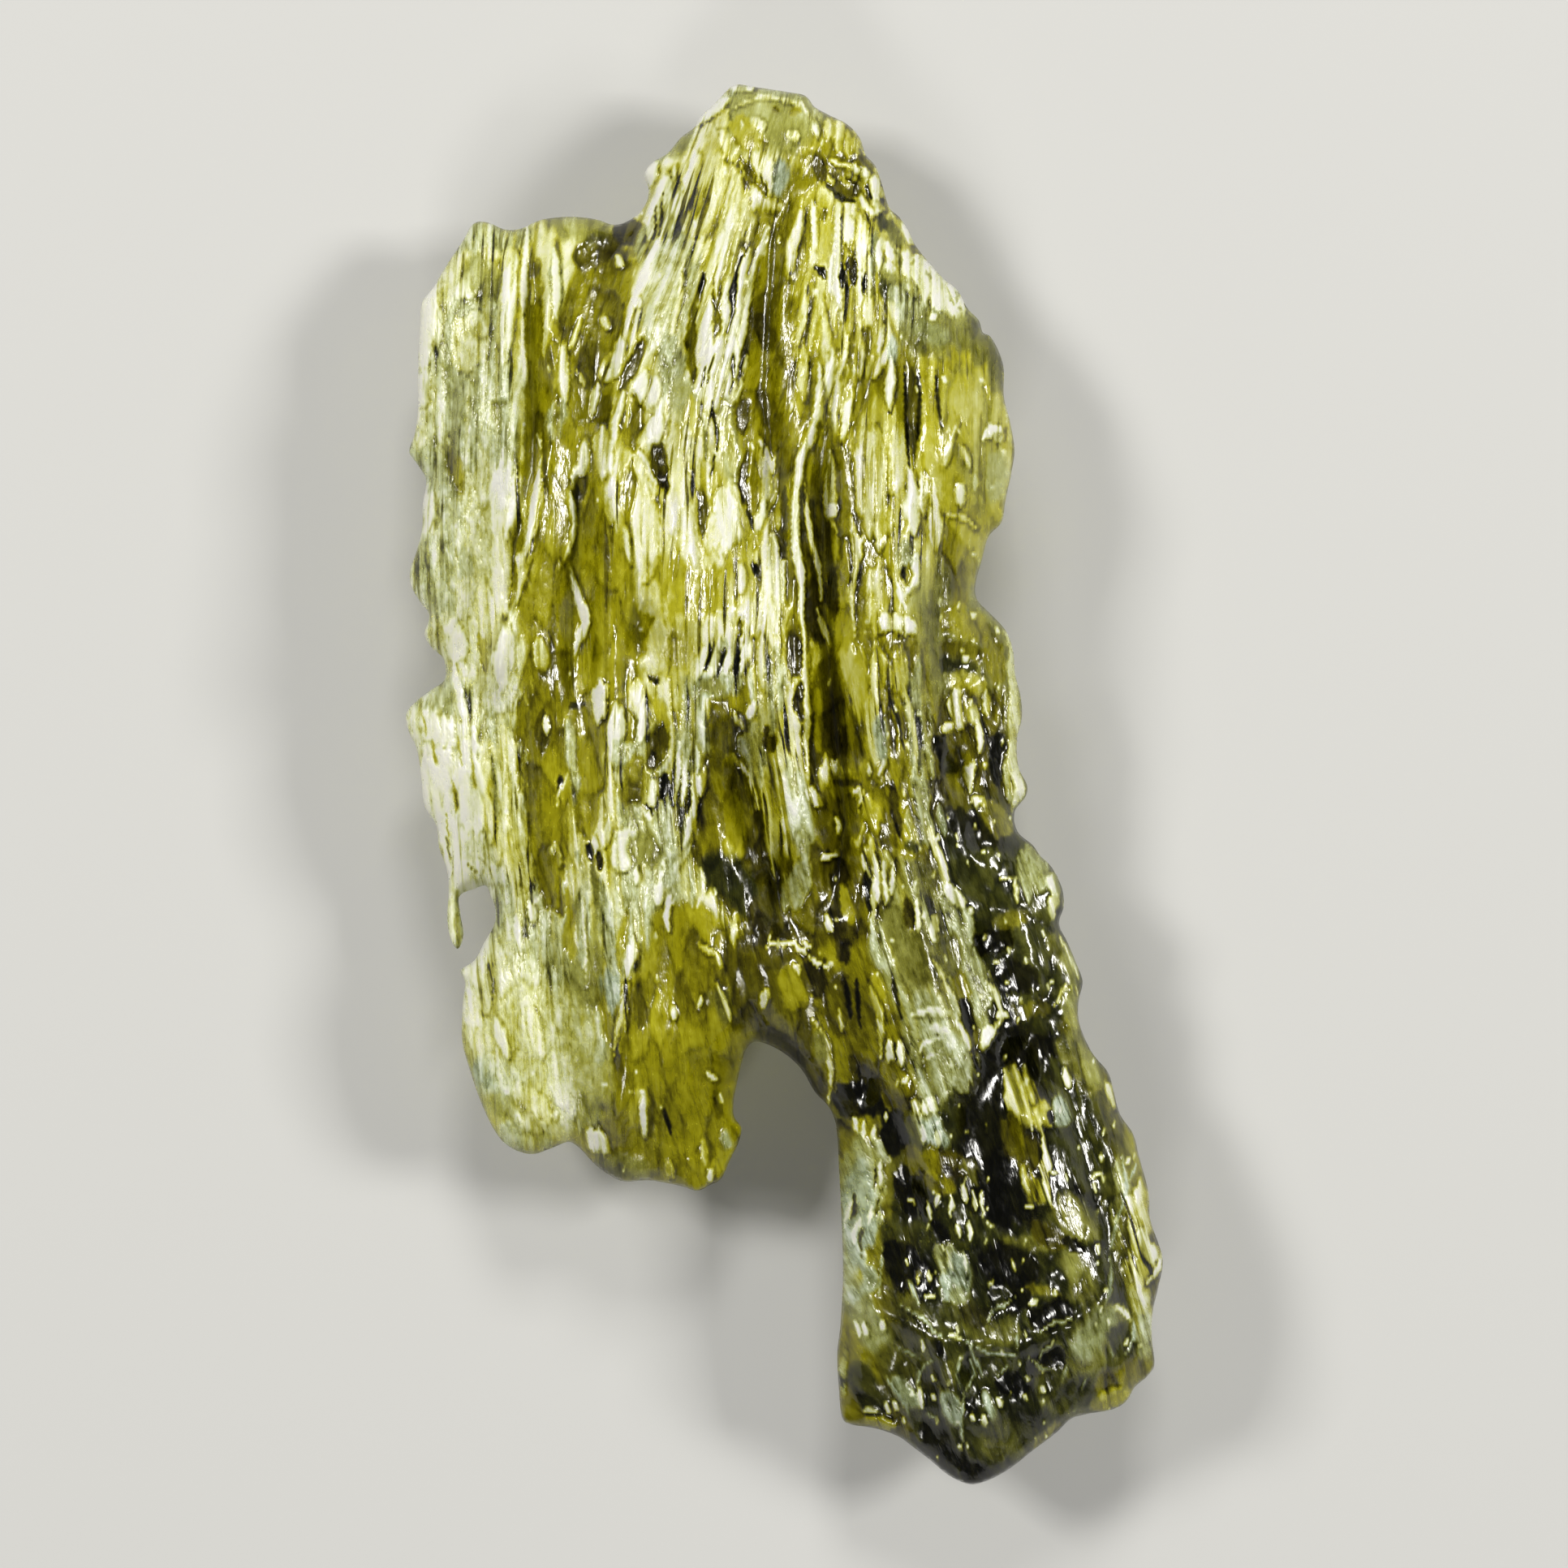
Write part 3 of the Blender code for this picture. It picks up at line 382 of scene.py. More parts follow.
    (CREAM, 2.5, 0.8, -61, 831, 35, 16, 45, -7, 15, -24), (STRAW, 9, -78, 824, 4, -14),
    (CREAM, 7, -36, 811, 4, -5), (CREAM, 6, 8, 795, 4, -2), (YELLOW, 14, 0.8, -54, 806, 13, -20),
    (OLIVE, 3, 0.9, -11, 830, 2, -2), (OLIVE, 4, 0.9, 10, 825, 6, 4), (OLIVE, 3, 0.9, -63, 794, 9, -16),
    (OLIVE, 3, 0.8, -31, 788, 9, -6), (WHITE, 7, -108, 815, 20, 15, 19, 14), (WHITE, 7, -63, 860, 22, 1),
    (SAGE, 5, 0.9, -63, 851, 9, -3), (MOSS, 9, -114, 806, -9, -18), (WHITE, 8, -165, 763, 1, -13),
    (SAGE, 5, 0.9, -151, 771, 7, 10), (STRAW, 26, 0.9, -94, 781, -4, -55, -6, -45),
    (CREAM, 12, 0.8, -106, 776, -10, -60, -5, -40), (WHITE, 7, -133, 761, -11, -50, -14, -63),
    (WHITE, 6, -146, 748, -12, -44, -12, -38), (DARK, 1.8, -137, 750, -7, -46, -10, -50),
    (DARK, 1.5, 0.8, -155, 726, -11, -50), (CREAM, 10, -61, 751, 7, -45, -7, -60),
    (WHITE, 7, -22, 681, -16, -65, -14, -70, -8, -60), (WHITE, 7, -44, 651, -17, -75, -9, -75),
    (WHITE, 6, -86, 591, -8, -55, -10, -58), (DARK, 2, -50, 646, -13, -70, -8, -50),
    (AMBER, 4, -73, 624, -5, -48, -8, -82), (DARK, 2.5, -98, 621, -3, -27),
    (AMBER, 5, -104, 581, -6, -35, -2, -32), (OLIVE, 6, -52, 763, 12, -19, 10, -20),
    (AMBER, 6, -26, 740, 2, -21), (BLUE, 11, -5, 752, 2, -26), (CREAM, 5, -16, 761, -5, -20, 5, -20),
    (STRAW, 5, -16, 710, 6, -4), (OLIVE, 16, 31, 764, -13, -38, -18, -52),
    (YELLOW, 6, 0.8, 37, 731, -13, -27), (OLIVE, 16, -8, 666, -10, -45, -2, -55),
    (CREAM, 5, 22, 702, -11, -28, -4, -48), (CREAM, 4, 35, 714, 2, -60), (YELLOW, 10, 48, 720, 0, -80),
    (AMBER, 4, 0.8, 49, 704, -1, -14), (WHITE, 5, 69, 722, -7, -56, -2, -45, 5, -40),
    (CREAM, 12, 88, 700, 6, -34, 2, -32), (WHITE, 4, 0.9, 80, 696, -2, -40), (BROWN, 5, 86, 638, -2, -30),
    (DARK, 3, 69, 630, -2, -30), (DARK, 3, 100, 628, -5, -34), (DARK, 4, 36, 632, 16, -8),
    (AMBER, 3, 76, 660, 8, -12), (MOSS, 2, 116, 676, -4, -40, -6, -42), (WHITE, 3, 120, 664, -4, -40),
    (STRAW, 15, 68, 806, 12, -22), (WHITE, 3, 38, 818, 3, -24), (OLIVE, 2.5, 44, 794, 12, -18, 20, -9),
    (CREAM, 3, 52, 768, 22, -7, 20, -1), (AMBER, 12, 60, 742, 24, -10), (STRAW, 3, 55, 744, 3, -4),
    (YELLOW, 3, 68, 746, 18, -10), (DARK, 3, 52, 734, 16, -14, 20, -4), (WHITE, 5, 90, 758, 14, -6),
    (WHITE, 6, 112, 746, 8, -22), (WHITE, 4, 94, 726, 7, -16, 10, -10, 13, 7),
    (DARK, 3, 102, 738, 4, -12, 6, -10), (MOSS, 8, 132, 690, 8, -24), (GREEN, 5, 120, 696, 4, -12),
    (WHITE, 6, 149, 688, 6, -19), (WHITE, 21, 156, 640, 30, -26, 26, -30), (WHITE, 5, 124, 666, 11, -26),
    (MOSS, 2, 133, 664, 9, -20, -3, -20, 7, -10), (MOSS, 2, 0.9, 148, 646, 10, -2, -2, -14),
    (MOSS, 2, 0.8, 174, 631, 8, -10), (MOSS, 2, 0.8, 200, 614, 6, -20, 16, -12), (GREEN, 6, 122, 614, 6, -22),
    (SAGE, 14, 0.9, 142, 596, 17, -22), (MOSS, 20, 0.9, 164, 548, 45, 6), (BLUE, 12, 0.4, 164, 556, 30, -10),
    (MOSS, 14, 0.9, 229, 566, 10, -42), (MOSS, 10, 0.9, 259, 541, 6, -40), (SAGE, 20, -132, 641, 2, -60),
    (SAGE, 15, -138, 566, 4, -60), (CREAM, 2.5, -154, 566, 3, -40), (CREAM, 2.5, -124, 566, -2, -50),
    (WHITE, 6, -182, 588, 2, -4), (WHITE, 3, 122, 564, -6, -40), (OLIVE, 5, 84, 561, -2, -65),
    (OLIVE, 5, 107, 561, -3, -35), (CREAM, 3, 76, 546, -6, -52), (CREAM, 3, 96, 556, -4, -60),
    (YELLOW, 7, 0.9, 46, 571, -2, -55), (CREAM, 3, 27, 606, -1, -40, -8, -32),
    (BROWN, 12, 0.6, -28, 566, 12, -30), (FROST, 28, 0.7, -132, 636, -8, -70, -6, -50),
    (WHITE, 14, 0.95, -143, 754, -10, -58, -7, -58), (DARK, 1.6, 0.9, -146, 734, -6, -68),
    (DARK, 1.6, 0.9, -155, 716, -6, -60), (CREAM, 3, -120, 636, -10, -70, -4, -40),
    # Strip beside the left band
    (STRAW, 6, 0.7, -366, 66, 6, -100, 10, -60), (OLIVE, 2, 0.9, -430, 54, 4, -30),
    (OLIVE, 2, 0.9, -414, -34, 4, -40), (DARK, 1.6, 0.8, -417, -60, 5, -34),
    (OLIVE, 2, 0.8, -398, 61, 5, -47), (OLIVE, 2, 0.8, -380, 41, 7, -47), (OLIVE, 1.8, 0.8, -445, 88, 6, -28),
    (DARK, 1.6, 0.7, -391, -96, 15, -14), (AMBER, 2, 0.8, -406, 6, 6, -42),
    (STRAW, 14, 0.8, -344, 86, 10, -80, 8, -100, 10, -90), (CREAM, 6, -363, -14, 3, -60),
    (OLIVE, 30, -298, 116, 4, -60, 8, -110, 10, -90), (AMBER, 9, -294, 86, -2, -50),
    (AMBER, 11, -278, -114, 6, -45), (MOSS, 26, 0.8, -254, -154, 10, -60, 8, -50),
    (OLIVE, 9, 0.8, -266, -164, 6, -50), (CREAM, 2, -250, -124, 8, -60, 4, -60),
    (CREAM, 2, -266, -94, 6, -50, 10, -60), (BLUE, 10, 0.9, -214, -224, 5, -55),
    (WHITE, 5, -185, -184, -3, -50), (CREAM, 3, -194, -239, -8, -57, -8, -38),
    # Flames and windows left of the middle
    (OLIVE, 20, -264, 144, 10, -36), (DARK, 4, 0.8, -262, 95, 18, 2), (WHITE, 7, -223, 126, 1, -26, -3, -26),
    (CREAM, 4, -212, 120, -6, -40), (WHITE, 8, -199, 98, -3, -44, -2, -28), (SAGE, 9, 0.9, -198, 48, -2, -22),
    (WHITE, 5, -166, 104, -4, -28, -6, -28), (YELLOW, 9, 0.9, -151, 98, 8, -30),
    (AMBER, 8, -151, 68, -3, -34), (CREAM, 2.5, -137, 86, -1, -35, -5, -35, -2, -35),
    (DARK, 4, -145, 14, -2, -33), (SAGE, 20, -116, 128, 7, -52, -1, -50), (WHITE, 5, -130, 36, -4, -58),
    (WHITE, 4, -118, 31, -6, -63), (WHITE, 6, -103, 16, -8, -55, -13, -35), (WHITE, 5, -95, 21, -4, -35),
    (DARK, 2.5, -136, 26, -2, -58), (DARK, 2, -124, 16, -4, -46), (DARK, 2, -110, 4, -6, -44),
    (AMBER, 11, -78, 98, -2, -57), (BROWN, 6, 0.9, -84, 78, 3, -37), (OLIVE, 10, -54, 118, 0, -30),
    (SAGE, 7, -42, 124, 12, -30, 4, -28), (WHITE, 4, -37, 98, -8, -18), (CREAM, 3, -63, 88, 13, -22),
    (BROWN, 6, -20, 71, 7, -31), (OLIVE, 28, -60, 11, -10, -55, -16, -35), (AMBER, 12, 0.7, -64, 16, 23, -35),
    (YELLOW, 6, 0.9, -72, -69, 8, -27), (CREAM, 2.5, -61, 38, 19, -30, 9, -42, 8, -26),
    (BROWN, 7, -31, -38, 3, -14), (STRAW, 12, 0.9, -21, 16, 7, -60, 3, -70), (GREEN, 24, -80, -106, 28, -20),
    (BROWN, 16, -26, -146, 8, -36), (CREAM, 2, -103, -102, 5, -20, -4, -27), (WHITE, 6, -211, -44, -3, -30),
    (WHITE, 12, 0.9, -194, -68, -4, -26), (WHITE, 4, -183, -52, -3, -32), (MOSS, 16, -174, -74, 10, -12),
    (WHITE, 7, -158, 2, -2, -26), (DARK, 3, -171, -22, 11, -16), (WHITE, 2.5, -172, -34, 9, -10),
    (WHITE, 3, -176, -102, 0, -18), (WHITE, 5, -151, -119, -2, -27), (SAGE, 8, -140, -92, 0, -27),
    (WHITE, 3, -138, -132, -4, -32, 3, -15), (WHITE, 4, -289, 79, 1, -15),
    (SAGE, 7, -260, 86, 3, -60, -1, -60), (DARK, 4, -274, 11, -2, -19),
    (CREAM, 2, -266, 12, -10, -21, -4, -25), (OLIVE, 15, -239, 66, 1, -55, 0, -55),
    (WHITE, 4, -232, -64, 3, -20), (DARK, 4, -238, -74, 4, -15), (BROWN, 5, -223, -86, 3, -14),
    (WHITE, 7, -281, -81, 5, -15), (OLIVE, 16, -291, -84, 7, -60),
    (SAGE, 7, -254, -74, 10, -40, 3, -50, -3, -60), (MOSS, 6, -231, -94, 7, -40, 8, -50),
    (SAGE, 6, -220, -116, 6, -68, 6, -50), (OLIVE, 5, -263, -124, 5, -60), (WHITE, 5, -311, -146, 7, -20),
    # Middle, between the windows
    (OLIVE, 10, -178, 466, -2, -60), (WHITE, 6, -169, 496, -7, -34), (WHITE, 6, -158, 492, -4, -32),
    (WHITE, 7, -154, 446, -4, -32), (AMBER, 10, -154, 404, 3, -30), (BROWN, 5, -150, 374, 8, -20),
    (SAGE, 18, -134, 526, 3, -40), (HAZE, 14, -124, 478, 6, -24), (AMBER, 5, -112, 526, -1, -44),
    (WHITE, 24, 0.9, -74, 518, -7, -38), (DARK, 2, -86, 526, -4, -50), (DARK, 2, -95, 508, -3, -32),
    (DARK, 2, -61, 520, -6, -46), (YELLOW, 10, 0.9, -116, 466, 5, -42), (HAZE, 14, -72, 466, 8, -60, 3, -46),
    (STRAW, 10, 0.6, -72, 456, 8, -80), (DARK, 2, -86, 466, 3, -60, -7, -42), (MOSS, 2.5, -100, 446, 4, -60),
    (AMBER, 9, -48, 464, -2, -36), (OLIVE, 16, -21, 526, 0, -60, -7, -45),
    (AMBER, 12, 0.8, -26, 486, 15, -60), (AMBER, 8, -46, 408, -5, -42, 7, -40), (DARK, 3, -44, 330, 4, -20),
    (CREAM, 6, -25, 404, 2, -38, -5, -40), (WHITE, 6, -25, 344, -11, -40),
    (CREAM, 2.5, -31, 426, 9, -18, 6, -26, 7, 28), (CREAM, 20, -70, 344, 2, -46),
    (WHITE, 16, 0.8, -76, 346, 10, -50), (AMBER, 6, -97, 354, -5, -60), (YELLOW, 12, 0.9, -38, 298, -16, -26),
    (DARK, 4, -40, 268, 6, -12), (CREAM, 6, -52, 266, 1, -32), (WHITE, 8, -11, 302, 2, -56, -2, -62),
    (BROWN, 7, 2, 366, -2, -50, -2, -40), (AMBER, 8, 0.8, 2, 406, 2, -40),
    (WHITE, 5, 46, 526, -4, -60, -10, -36, -12, -38, -5, -46, 1, -80, 2, -62, 6, -40),
    (CREAM, 3, 26, 368, 5, -52, 9, -50, 4, -42), (AMBER, 9, 40, 410, 0, -64, 4, -70),
    (BROWN, 8, 0.9, 46, 316, 6, -40), (CREAM, 3, 56, 406, 4, -50, -2, -30), (WHITE, 4, 58, 338, 0, -11),
    (OLIVE, 12, 76, 421, -2, -45, 2, -50), (YELLOW, 4, 61, 302, 3, -46, 6, -36), (YELLOW, 5, 73, 298, 4, -74),
    (BROWN, 7, 51, 306, 3, -60, 8, -40), (CREAM, 4, 82, 328, 6, -52, -5, -60, -2, -40),
    (WHITE, 12, 152, 368, 7, -62), (WHITE, 5, 167, 378, 2, -54), (SAGE, 11, 146, 282, 2, -12),
    (DARK, 3, 146, 262, 4, -18), (OLIVE, 5, 153, 262, 1, -18), (WHITE, 4, 139, 244, 7, -30),
    (MOSS, 34, 0.5, 214, 496, 20, -90, 5, -60), (YELLOW, 20, 0.8, 219, 486, -3, -60),
    (YELLOW, 14, 0.8, 199, 406, 3, -60), (HAZE, 14, 262, 396, -6, -40), (WHITE, 5, 213, 360, 1, -16),
    (CREAM, 3, 0.9, 194, 386, 10, 28, 8, 24), (CREAM, 2.5, 0.9, 217, 412, 7, -28),
    (STRAW, 3, 0.9, 194, 330, 25, -5, 15, -11), (WHITE, 5, 244, 423, 12, 11, 10, 2),
    (STRAW, 6, 0.9, 272, 506, 6, -80, -6, -60), (WHITE, 5, 132, 518, -4, -64), (OLIVE, 10, 199, 318, 5, -56),
    # Valleys and ribs right of the middle
    (SAGE, 22, 0.9, -70, 151, 4, -17), (WHITE, 4, -95, 166, -5, -36), (WHITE, 4, -80, 176, -6, -46),
    (WHITE, 5, -61, 176, -9, -42), (WHITE, 4, -40, 176, -14, -42), (DARK, 2, -88, 164, -5, -30),
    (DARK, 2, -72, 166, -5, -36), (DARK, 1.8, -51, 164, -10, -34), (MOSS, 10, 0.9, -90, 119, 14, -5),
    (SAGE, 11, -11, 164, 0, -48, -5, -55), (AMBER, 10, 9, 176, 2, -42),
    (CREAM, 2.5, -1, 128, 9, -14, 10, -30), (BROWN, 9, 19, 116, 4, -34),
    (CREAM, 3.5, 23, 166, 3, -50, 4, -60, 2, -52), (AMBER, 20, 56, 156, 2, -70, -2, -60),
    (BROWN, 6, 62, 136, 2, -70, 0, -52), (OLIVE, 6, 43, 116, -1, -75), (OLIVE, 5, 78, 111, 6, -70),
    (YELLOW, 12, 88, 166, 6, -65), (STRAW, 14, 113, 166, 6, -75), (BLUE, 8, 0.9, 114, 84, 3, -58),
    (WHITE, 3, 120, 28, -6, -18), (WHITE, 2.5, 102, 26, 2, -15), (STRAW, 9, 138, 166, 8, -62),
    (DARK, 2.5, 131, 108, 9, -42, 9, -35), (SAGE, 9, 160, 156, 5, -70, 7, -70, 2, -42),
    (CREAM, 3, 147, 116, 9, -50, 6, -50), (AMBER, 7, 126, 86, 6, -50), (BROWN, 8, 132, 6, 2, -40, 6, -30),
    (CREAM, 4, 80, -12, 10, 5, 6, -13), (CREAM, 3, 92, -24, 6, 15), (YELLOW, 9, 0.9, 104, -19, 10, -35),
    (AMBER, 8, 82, -34, 4, -30), (BROWN, 5, 64, -19, 4, -30), (CREAM, 2.5, 0.9, 60, -39, 8, -10, -3, -13),
    (SAGE, 14, 162, -39, 4, -25), (GREEN, 7, 152, -74, 6, -4), (WHITE, 3, 94, -84, 6, -32),
    (WHITE, 3, 109, -84, 4, -62), (WHITE, 3, 122, -94, 2, -52), (WHITE, 3, 132, -94, -2, -42),
    (DARK, 3.5, 96, -104, 8, -52), (MOSS, 15, 164, -108, 6, -10), (CREAM, 4, 176, -54, 10, -30, 13, -35),
    (WHITE, 9, 198, -128, 16, -16), (WHITE, 4, 184, -159, 2, -21), (BROWN, 7, 151, -140, 3, -34),
    (WHITE, 3, 162, -134, -1, -46), (BROWN, 12, 62, -134, 12, -65), (OLIVE, 8, 70, -124, 10, -40),
    (WHITE, 2.4, -22, -200, 10, 8, 12, -3, 10, 2), (WHITE, 3, 12, -200, 12, -4),
    (WHITE, 2.2, 20, -194, 10, -4), (WHITE, 2.6, 29, -210, 11, -10, 6, 4), (WHITE, 2.4, 46, -224, 12, 6),
    (CREAM, 2, 38, -202, 8, -8), (WHITE, 4, 52, -159, 4, -20), (SAGE, 12, 108, -166, 8, -50),
    (MOSS, 16, 158, -196, -2, -30), (MOSS, 12, 199, -194, 1, -26), (SAGE, 7, 222, -154, 6, -45),
    (BROWN, 12, 0.9, -28, -114, 12, -25),
    # Ribs above the leg
    (OLIVE, 18, 86, -244, 14, -80), (YELLOW, 4, 104, -234, 20, -52), (CREAM, 3, 98, -239, 20, -37, 4, -58),
    (DARK, 3, 74, -239, 6, -47), (DARK, 2.5, 84, -236, 10, -60), (CREAM, 2, 67, -274, 3, -28),
    (SAGE, 18, 169, -269, 30, -5), (WHITE, 5, 0.9, 158, -280, 16, 6, 22, -2, 13, -10),
    (SAGE, 22, 184, -319, 22, -5, -7, -40), (WHITE, 2, 162, -328, 10, 14, 16, 6),
    (WHITE, 2, 168, -338, 16, 14), (WHITE, 2.5, 226, -324, -8, 24, -12, 12), (WHITE, 5, 129, -309, 3, -37),
    (WHITE, 5, 142, -310, 2, -36), (DARK, 2, 136, -314, 2, -26), (AMBER, 18, 130, -354, 12, -28),
    (OLIVE, 12, 0.9, 132, -349, 14, -20), (WHITE, 3, 159, -384, 1, -13), (WHITE, 3, 168, -386, 2, -14),
    (WHITE, 5, 177, -384, 2, -9), (BLUE, 14, 179, -419, 7, -15), (WHITE, 3, 164, -414, 4, -22),
    (WHITE, 5, 182, -424, 2, -12), (SAGE, 10, 230, -214, 10, -25, 10, -35),
    (WHITE, 2.5, 244, -238, 15, -16, 7, -30, -10, -16), (WHITE, 5, 256, -300, -16, -24),
    (WHITE, 4, 262, -282, 12, 0), (DARK, 10, 222, -270, 4, -24), (MOSS, 20, 0.9, 356, -319, 23, -40),
    (HAZE, 8, 0.6, 372, -344, 12, -20), (HAZE, 11, 0.5, 350, -214, 8, -35),
    (HAZE, 9, 0.6, 344, -269, 12, -25), (CREAM, 1.8, 0.9, 352, -246, 12, -8, -4, -12),
    (STRAW, 20, 288, -374, 22, -28), (CREAM, 6, 296, -369, 6, -15), (BLUE, 9, 336, -392, 6, -16),
    (DARK, 4, 324, -400, 4, -8), (CREAM, 3, 311, -419, 7, -35, 2, -30, 9, -40), (WHITE, 5, 346, -352, 6, -18),
    (STRAW, 7, 0.9, 296, -459, 8, -53),
    # Leg
    (DARK, 22, 84, -386, 18, 0), (WHITE, 2.3, 84, -409, 2, -17), (WHITE, 2.3, 96, -412, -2, -27),
    (WHITE, 3, 109, -419, -5, -17), (DARK, 14, 132, -409, 2, -35), (SAGE, 26, 98, -459, -2, -55),
    (SAGE, 18, 89, -534, -3, -40), (WHITE, 3, 0.9, 119, -459, -3, -35), (DARK, 2, 0.9, 114, -504, -6, -30),
    (BLUE, 9, 0.9, 106, -534, -6, -30), (SAGE, 12, 0.9, 84, -594, -2, -32),
    (BLUE, 9, 0.8, 106, -599, -2, -15), (BLUE, 2, 0.9, 122, -554, -2, -40, -4, -30),
    (BLUE, 20, 0.55, 92, -644, 17, -32), (WHITE, 2.3, 87, -659, 5, -21), (WHITE, 3, 96, -662, 4, -13),
    (WHITE, 3, 119, -656, 3, -11), (DARK, 16, 154, -474, 4, -46), (BLUE, 16, 0.8, 92, -464, -2, -70, -2, -60),
    (WHITE, 2.3, 81, -514, -1, -32), (WHITE, 2.3, 92, -534, -4, -32), (WHITE, 2, 104, -516, -2, -24),
    (DARK, 2, 0.9, 86, -504, -2, -30), (DARK, 1.6, 0.9, 96, -544, -2, -35),
    (DARK, 1.6, 0.9, 110, -464, -2, -32), (WHITE, 2.3, 154, -508, 7, -4), (GREEN, 15, 0.9, 135, -514, 3, -85),
    (AMBER, 20, 164, -459, 45, -5), (OLIVE, 12, 0.9, 179, -484, 20, -8), (MOSS, 10, 0.8, 224, -464, 10, -16),
    (WHITE, 3, 187, -499, -3, -17), (WHITE, 3, 204, -499, 2, -31), (WHITE, 3, 218, -486, 4, -24),
    (WHITE, 3, 229, -492, 3, -28), (WHITE, 2.3, 239, -496, 2, -34), (WHITE, 3, 224, -532, 4, -28),
    (WHITE, 3, 212, -534, 5, -19), (WHITE, 2.5, 177, -509, 4, -26), (DARK, 8, 189, -539, 10, -16),
    (WHITE, 2.3, 246, -534, 9, -5), (DARK, 24, 262, -474, 7, -40), (SAGE, 14, 194, -569, 12, -27),
    (BLUE, 14, 212, -579, 4, -41), (BLUE, 8, 194, -604, 5, -21), (WHITE, 2.5, 0.9, 199, -564, 5, -31),
    (WHITE, 2.5, 0.9, 219, -569, 3, -31), (DARK, 20, 144, -574, 15, -36), (STRAW, 4, 162, -594, -2, -16),
    (WHITE, 2.3, 172, -594, 4, -13), (WHITE, 3, 171, -624, 10, 0), (BLUE, 2, 0.9, 149, -606, 5, -14, 6, -14),
    (DARK, 24, 0.9, 259, -579, 30, -17), (WHITE, 2, 276, -579, 6, -16), (MOSS, 10, 0.9, 274, -554, 50, -10),
    (AMBER, 14, 0.9, 314, -544, 20, -10), (MOSS, 22, 346, -519, 16, -20), (MOSS, 18, 0.9, 349, -584, 10, -32),
    (OLIVE, 7, 0.7, 299, -612, 35, -8), (DARK, 6, 0.9, 344, -554, 15, -12), (DARK, 5, 0.9, 374, -564, 10, 2),
    (WHITE, 2.5, 380, -561, 0, -11), (DARK, 14, 0.9, 364, -489, 15, -15),
    (GREEN, 24, 0.9, 364, -464, 15, -20), (WHITE, 2.5, 371, -481, 15, 7), (WHITE, 2.5, 376, -486, 2, -11),
    (WHITE, 2.3, 294, -512, 10, -3), (SAGE, 12, 0.8, 406, -454, 6, -50, -8, -60),
    (MOSS, 10, 0.9, 410, -524, -4, -60), (CREAM, 20, 436, -484, 2, -70, -2, -70),
    (WHITE, 11, 438, -552, 16, -28), (CREAM, 18, 0.9, 426, -596, 8, -38),
    (WHITE, 3, 464, -579, -4, -21, -18, -15), (BLUE, 2.5, 396, -580, 10, 46, 13, 40, -5, 40),
    (BLUE, 2, 429, -464, -7, -21), (BLUE, 2.5, 0.9, 389, -634, 7, 30, 4, 25), (MOSS, 28, 384, -659, -20, -43),
    (BLUE, 20, 0.5, 384, -656, -22, -30), (FROST, 15, 0.8, 436, -626, 8, -48),
    (BLUE, 12, 0.5, 439, -659, 3, -40), (GREEN, 14, 409, -674, 10, -16),
    (WHITE, 2, 399, -634, 15, -10, 6, -13), (BLUE, 2, 424, -646, 4, -34, -9, -20),
    (BLUE, 2, 337, -684, 5, -22, -3, -24), (BLUE, 2, 369, -724, -10, -30, -3, -26),
    (BLUE, 1.8, 0.9, 396, -689, 11, -17), (DARK, 16, 334, -639, -15, -11), (DARK, 15, 326, -699, -17, -8),
    (DARK, 16, 274, -729, 12, -6), (DARK, 14, 229, -644, 15, -8), (DARK, 15, 176, -722, 8, -20),
    (DARK, 10, 184, -682, 2, -4), (DARK, 10, 0.9, 224, -756, 2, -6), (DARK, 12, 0.9, 279, -634, 13, 8),
    (MOSS, 12, 0.7, 266, -664, 8, -4), (MOSS, 26, 0.45, 154, -664, 28, -70),
    (MOSS, 20, 0.45, 214, -634, 34, -40), (MOSS, 24, 0.4, 324, -734, 40, -40),
    (MOSS, 10, 0.6, 199, -709, 3, -15), (MOSS, 14, 0.5, 149, -682, -20, -18), (SAGE, 6, 76, -694, 0, -62),
    (GREEN, 18, 0.8, 96, -724, 14, -32), (AMBER, 12, 132, -776, 14, -20), (YELLOW, 8, 0.9, 106, -784, 24, -6),
    (WHITE, 3, 0.9, 99, -771, 15, 1), (WHITE, 3, 0.9, 122, -759, 4, -16), (WHITE, 2.3, 134, -754, 3, -16),
    (BLUE, 9, 0.7, 142, -734, 13, -22), (BLUE, 2, 139, -634, 25, -15, 15, -15, 20, -8),
    (WHITE, 2.3, 200, -666, 12, -8), (BLUE, 2.5, 214, -674, 18, -10), (BLUE, 2, 232, -684, 17, -10, 40, -1),
    (BLUE, 2, 220, -679, 14, -23, 12, -25), (BLUE, 2, 184, -698, -12, -8, -10, -14, -2, -16),
    (BLUE, 2, 140, -689, 26, -15), (BLUE, 2, 0.9, 246, -664, 12, 24, 22, 16),
    (BLUE, 2, 0.9, 309, -702, 10, 13, 16, 7), (BLUE, 2, 0.9, 314, -666, 18, 12, 18, 8),
    (BLUE, 2, 0.9, 295, -698, 15, -14, 24, -5), (BLUE, 1.8, 0.9, 280, -666, 2, -20),
    (BLUE, 1.8, 0.9, 258, -726, 14, 17), (BLUE, 2, 214, -694, -3, -26, 7, -18),
    (BLUE, 2, 224, -699, 5, -23, -8, -20), (WHITE, 2.5, 162, -736, 6, -30),
    (BLUE, 2, 126, -724, 16, -26, 15, -30), (BLUE, 2, 0.9, 174, -770, 16, -16),
    (BLUE, 1.8, 218, -739, -2, -35, 2, -36), (BLUE, 1.8, 220, -813, 6, -21, 5, -16),
